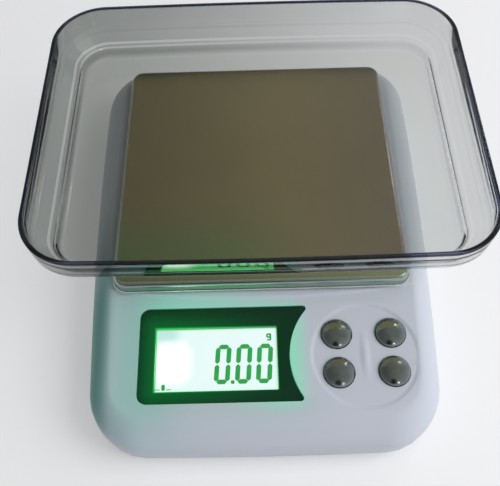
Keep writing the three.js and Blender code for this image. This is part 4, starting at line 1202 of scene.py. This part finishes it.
def make_pan():
    """The pressed steel pan: a plane with rounded corners, raised and drawn in round by round."""
    brim = PAN_FLARE + PAN_HEM
    piece = new_plane("steel_pan", 2 * (PAN_HALF + brim), 0, PAN_Y, PAN_HEM_Z + PAN_HEM / 2)
    bpy.ops.object.transform_apply()
    edit(piece, "VERT")
    bpy.ops.mesh.bevel(offset=PAN_CORNER + brim, segments=14, affect="VERTICES")
    bpy.ops.mesh.select_mode(type="FACE")
    select_mesh()
    extrude(0, 0, PAN_HEM / 2)
    bpy.ops.mesh.inset(thickness=PAN_HEM * 0.4, depth=PAN_HEM * 0.7)
    bpy.ops.mesh.inset(thickness=PAN_HEM * 0.6, depth=PAN_HEM * 0.3)
    climb = PAN_TOP - PAN_ROLL - PAN_HEM_Z - 2 * PAN_HEM
    bpy.ops.mesh.inset(thickness=PAN_FLARE, depth=climb)
    turns = [math.pi / 2 * step / 8 for step in range(9)]
    for here, there in zip(turns, turns[1:]):
        bpy.ops.mesh.inset(
            thickness=PAN_ROLL * (math.cos(here) - math.cos(there)),
            depth=PAN_ROLL * (math.sin(there) - math.sin(here)),
        )
    bpy.ops.mesh.inset(thickness=0.0006, depth=0)
    hem_top = PAN_HEM_Z + PAN_HEM
    pick_faces(piece, lambda middle, normal: abs(normal.z) > 0.9 and middle.z < hem_top)
    bpy.ops.mesh.delete(type="FACE")
    leave_edit()
    recalculate_sheet(piece)
    apply_modifier(piece, "SOLIDIFY", thickness=PAN_SHEET, offset=-1.0, use_even_offset=True)
    smooth(piece, 40)
    return piece


def rounded_path(stops, steps=6):
    """Points along a path of (inset, height, reach) stops, each turned through a soft bend."""
    points = [stops[0][:2]]
    for before, here, after in zip(stops, stops[1:], stops[2:]):
        corner = Vector(here[:2])
        back = (Vector(before[:2]) - corner).normalized() * here[2]
        ahead = (Vector(after[:2]) - corner).normalized() * here[2]
        for step in range(steps + 1):
            share = step / steps
            bend = corner + back * (1 - share) ** 2 + ahead * share**2
            points.append((bend.x, bend.y))
    points.append(stops[-1][:2])
    return points


def tray_ring(inset, height):
    """One ring of the tray, with its sides bowed a little outwards."""
    half_x = TRAY_HALF_WIDTH - inset
    half_y = TRAY_HALF_LENGTH - inset
    corner = max(TRAY_CORNER - inset, TRAY_WALL)
    stops = [-0.05 + 0.0125 * i for i in range(9)]
    row = []
    for x, y in rounded_outline(half_x, -half_y, half_y, corner, stops, 16, 20):
        across = x / half_x
        bow = TRAY_BOW * (across * across - 1) * y / half_y
        y = y - bow - TRAY_BOW * (1 if y > 0 else -1 if y < 0 else 0)
        row.append(Vector((x, y + TRAY_Y, height + TRAY_Z)))
    return row


def tray_side(inwards, floor, rise):
    """The tray's profile from its floor up to its rim, on one side of its wall."""
    band_low = TRAY_HEIGHT - TRAY_BAND
    wall_top = TRAY_BAND_LEAN + TRAY_LEDGE_RUN
    wall_foot = wall_top + TRAY_WALL_LEAN
    stops = [
        (wall_foot + TRAY_FOOT_RUN + 0.004, floor, 0.0),
        (wall_foot, floor, TRAY_FOOT_RUN),
        (wall_top, band_low - TRAY_LEDGE_DROP + rise, TRAY_BEND + rise),
        (TRAY_BAND_LEAN, band_low + rise, TRAY_BEND + rise),
        (0.0, TRAY_HEIGHT - TRAY_RIM_ROUND, 0.0),
    ]
    return rounded_path([(inset + inwards, height, reach) for inset, height, reach in stops])


def make_tray():
    """The smoked tray: rings from the foot up the outside, over the rim and down the inside."""
    outer = tray_side(0.0, 0.0, 0.0)
    inner = tray_side(TRAY_WALL, TRAY_FLOOR, TRAY_WALL / 2)
    top = TRAY_HEIGHT - TRAY_RIM_ROUND
    rim = []
    for step in range(1, 5):
        angle = math.pi / 2 * step / 4
        rim.append((TRAY_RIM_ROUND * (1 - math.cos(angle)), top + TRAY_RIM_ROUND * math.sin(angle)))
    outer += rim + [(TRAY_WALL - inset, height) for inset, height in rim[::-1]]
    rows = [tray_ring(*pair) for pair in outer + inner[::-1]]
    count = len(rows[0])
    places = [place for row in rows for place in row]
    faces = rings_to_faces(count, len(rows))
    faces.append(tuple(range(count))[::-1])
    faces.append(tuple(range(len(places) - count, len(places))))
    piece = from_faces("smoked_tray", places, faces)
    recalculate(piece)
    smooth(piece, 30)
    return piece


def make_mat_quarter(name, side, up):
    """The quarter of the rubber key mat under one key."""
    piece = merged_copy(name, "key_mat")
    middle_up = sum(KEY_ROWS) / 2
    middle = panel_point(PAD[0], middle_up)
    edit(piece)
    for outward in (Vector((-side, 0, 0)), Vector((0, middle_up - up, 0)).normalized()):
        select_mesh()
        bpy.ops.mesh.bisect(
            plane_co=middle, plane_no=PANEL.to_3x3() @ outward, clear_outer=True, use_fill=True
        )
    leave_edit()
    recalculate(piece)
    return piece


def give_way(piece):
    """Gives a piece a mesh of its own."""
    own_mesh(piece)


def make_foot(name, x, y):
    """A turned rubber foot with a rounded sole and a shallow dish in it."""
    low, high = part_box("rubber_foot_1")
    radius = (high[0] - low[0]) / 2
    height = high[2] - low[2]
    profile = [
        (0.0, 0.0005),
        (radius * 0.45, 0.0005),
        (radius * 0.55, 0.0),
        (radius - 0.0007, 0.0),
        (radius - 0.0002, 0.0002),
        (radius, 0.0007),
        (radius, height - 0.0004),
        (radius - 0.0004, height),
        (0.0, height),
    ]
    piece = turned(name, profile, 40)
    shift(piece, x, y, low[2])
    smooth(piece)
    return piece


settle(make_housing(), "chassis", "white_plastic", "upper_housing")
for name, body, slot, node in (
    ("base_shell", "chassis", "white_plastic", "base_housing"),
    ("bay_cover", "cover", "white_plastic", "battery_cover"),
    ("carrier", "platform", "inner_plastic", "pan_carrier"),
):
    settle(merged_copy(name, node, 0.0003), body, slot, node)
settle(make_window(), "chassis", "window_plastic", "display_window")
settle(make_pane(), "chassis", "lcd_glass", finish=LIT_DISPLAY)
settle(make_figures(), "chassis", "lcd_glass", finish=FIGURES)
for across, column in ((-1, "left"), (1, "right")):
    for up, row in zip(KEY_ROWS, ("back", "front")):
        place = f"{column}_{row}"
        dome = make_key(f"dome_{place}", PAD[0] + across * KEY_ACROSS, up)
        settle(dome, f"button_{place}", "chromed", f"key_{place}")
        quarter = make_mat_quarter(f"mat_{place}", across, up)
        settle(quarter, "chassis", "grey_rubber", "key_mat")
        give_way(quarter)
weigh_bar = merged_copy("weigh_bar", "load_cell", 0.0002)
settle(weigh_bar, None, "cell_aluminium", "load_cell")
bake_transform(weigh_bar)
settle(make_pan(), "pan", "pan_steel", "weighing_pan")
settle(make_tray(), "tray", "smoked_plastic", "weighing_tray")
for number in range(1, 5):
    low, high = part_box(f"rubber_foot_{number}")
    foot = make_foot(f"foot_{number}", (low[0] + high[0]) / 2, (low[1] + high[1]) / 2)
    settle(foot, "chassis", "black_rubber", f"rubber_foot_{number}")

for part in frame["record"]["subparts"]:
    dress(frame["nodes"][part["node"]], FINISHES[part["material_slot"]])


# ---------------------------------------------------------------- floor, light and camera

def make_floor():
    """A wide pale floor that keeps the object's shadow and shows white round it."""
    floor = new_plane("studio_floor", 6)
    finish, tree, shader, vector = fresh_finish("studio floor")
    inputs = {"Color": (0.8, 0.8, 0.8), "Patch Scale": 2.0, "Patch Amount": 0.01}
    surface = put_group(tree, SURFACE, vector, inputs)
    tree.links.new(surface["Color"], shader.inputs["Base Color"])
    shader.inputs["Roughness"].default_value = 0.9
    shader.inputs["Specular IOR Level"].default_value = 0.0
    light_path = add_node(tree, "ShaderNodeLightPath").outputs
    bent = math_node(
        tree, "MAXIMUM", light_path["Is Glossy Ray"], light_path["Is Transmission Ray"]
    )
    seen = math_node(tree, "MAXIMUM", light_path["Is Camera Ray"], bent)
    light_up(tree, shader, blend(tree, seen, (0.0, 0.0, 0.0), (0.3, 0.3, 0.3)))
    from_below = add_node(tree, "ShaderNodeNewGeometry").outputs["Backfacing"]
    let_through(tree, shader, from_below, (1.0, 1.0, 1.0))
    floor.data.materials.append(finish)
    floor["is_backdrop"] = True


def make_lamp(name, place, size, power, mirrored=True):
    """A square lamp turned towards the object. Unless it is mirrored, shiny pieces don't show it."""
    lamp = bpy.data.lights.new(name, "AREA")
    lamp.shape = "SQUARE"
    lamp.size = size
    lamp.energy = power
    holder = new_object(name, lamp)
    holder.visible_glossy = mirrored
    holder.location = place
    aim = Vector((0.0, 0.0, 0.03)) - Vector(place)
    holder.rotation_euler = aim.to_track_quat("-Z", "Y").to_euler()


def sky_patch(tree, direction, toward, inner, outer, share):
    """A share inside a round patch of the surroundings, fading to nothing at its outer size."""
    middle = Vector(toward).normalized()
    away = add_node(tree, "ShaderNodeVectorMath", direction, middle, operation="DISTANCE")
    return fade(tree, away.outputs["Value"], inner, outer, share)


def make_world():
    """Soft grey surroundings, paler towards the horizon and the right. A dark patch lies in front.
    What the clear tray shows is white, but for a warm patch behind that the pan mirrors."""
    world = bpy.data.worlds.new("studio")
    bpy.context.scene.world = world
    world.use_nodes = True
    tree = world.node_tree
    direction = add_node(tree, "ShaderNodeTexCoord").outputs["Generated"]
    parts = split(tree, direction)
    tone = blend(tree, span(tree, parts["Z"], 0.0, 0.8), (0.92, 0.96, 1.06), (0.47, 0.47, 0.48))
    across = span(tree, parts["X"], -0.9, 0.5, 0.45, 1.0)
    shaded = add_node(tree, "ShaderNodeVectorMath", tone, None, None, across, operation="SCALE")
    dark = sky_patch(tree, direction, (-0.07, -0.78, 0.62), 0.18, 0.34, 0.95)
    tone = blend(tree, dark, shaded.outputs[0], (0.02, 0.02, 0.02))
    light_path = add_node(tree, "ShaderNodeLightPath").outputs
    through = light_path["Is Transmission Ray"]
    tone = blend(tree, through, tone, (1.0, 1.0, 1.0))
    mirrored = math_node(tree, "MINIMUM", light_path["Glossy Depth"], through)
    warm = times(tree, sky_patch(tree, direction, (0.02, 0.62, 0.78), 0.45, 0.8, 1.0), mirrored)
    tone = blend(tree, warm, tone, (0.885, 0.766, 0.44))
    background = tree.nodes["Background"].inputs
    tree.links.new(tone, background["Color"])
    background["Strength"].default_value = 0.8


def make_camera():
    """The camera that took the photograph."""
    camera = bpy.data.cameras.new("photo_view")
    camera.lens = CAMERA_LENS
    camera.sensor_width = 36.0
    camera.sensor_fit = "HORIZONTAL"
    camera.clip_start = 0.01
    holder = new_object("photo_view", camera)
    level = Vector((math.cos(CAMERA_YAW), -math.sin(CAMERA_YAW), 0.0))
    reach = math.cos(CAMERA_PITCH)
    ahead = Vector(
        (math.sin(CAMERA_YAW) * reach, math.cos(CAMERA_YAW) * reach, -math.sin(CAMERA_PITCH))
    )
    upward = level.cross(ahead)
    right = math.cos(CAMERA_ROLL) * level + math.sin(CAMERA_ROLL) * upward
    up = math.cos(CAMERA_ROLL) * upward - math.sin(CAMERA_ROLL) * level
    turn = Matrix((right, up, -ahead)).transposed().to_4x4()
    holder.matrix_world = Matrix.Translation(CAMERA_PLACE) @ turn
    bpy.context.scene.camera = holder


make_floor()
make_world()
make_lamp("main_lamp", (0.75, -0.18, 0.75), size=0.7, power=5.2, mirrored=False)
make_lamp("glint_lamp", (0.6, 0.62, 0.62), size=0.09, power=0.35)
make_lamp("front_lamp", (0.4, -0.92, 0.58), size=0.08, power=0.3)
make_camera()
bpy.context.scene.view_settings.view_transform = "Standard"

corners = {"cad": cad_box, "visual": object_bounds()}
{name: [list(corner) for corner in box] for name, box in corners.items()}
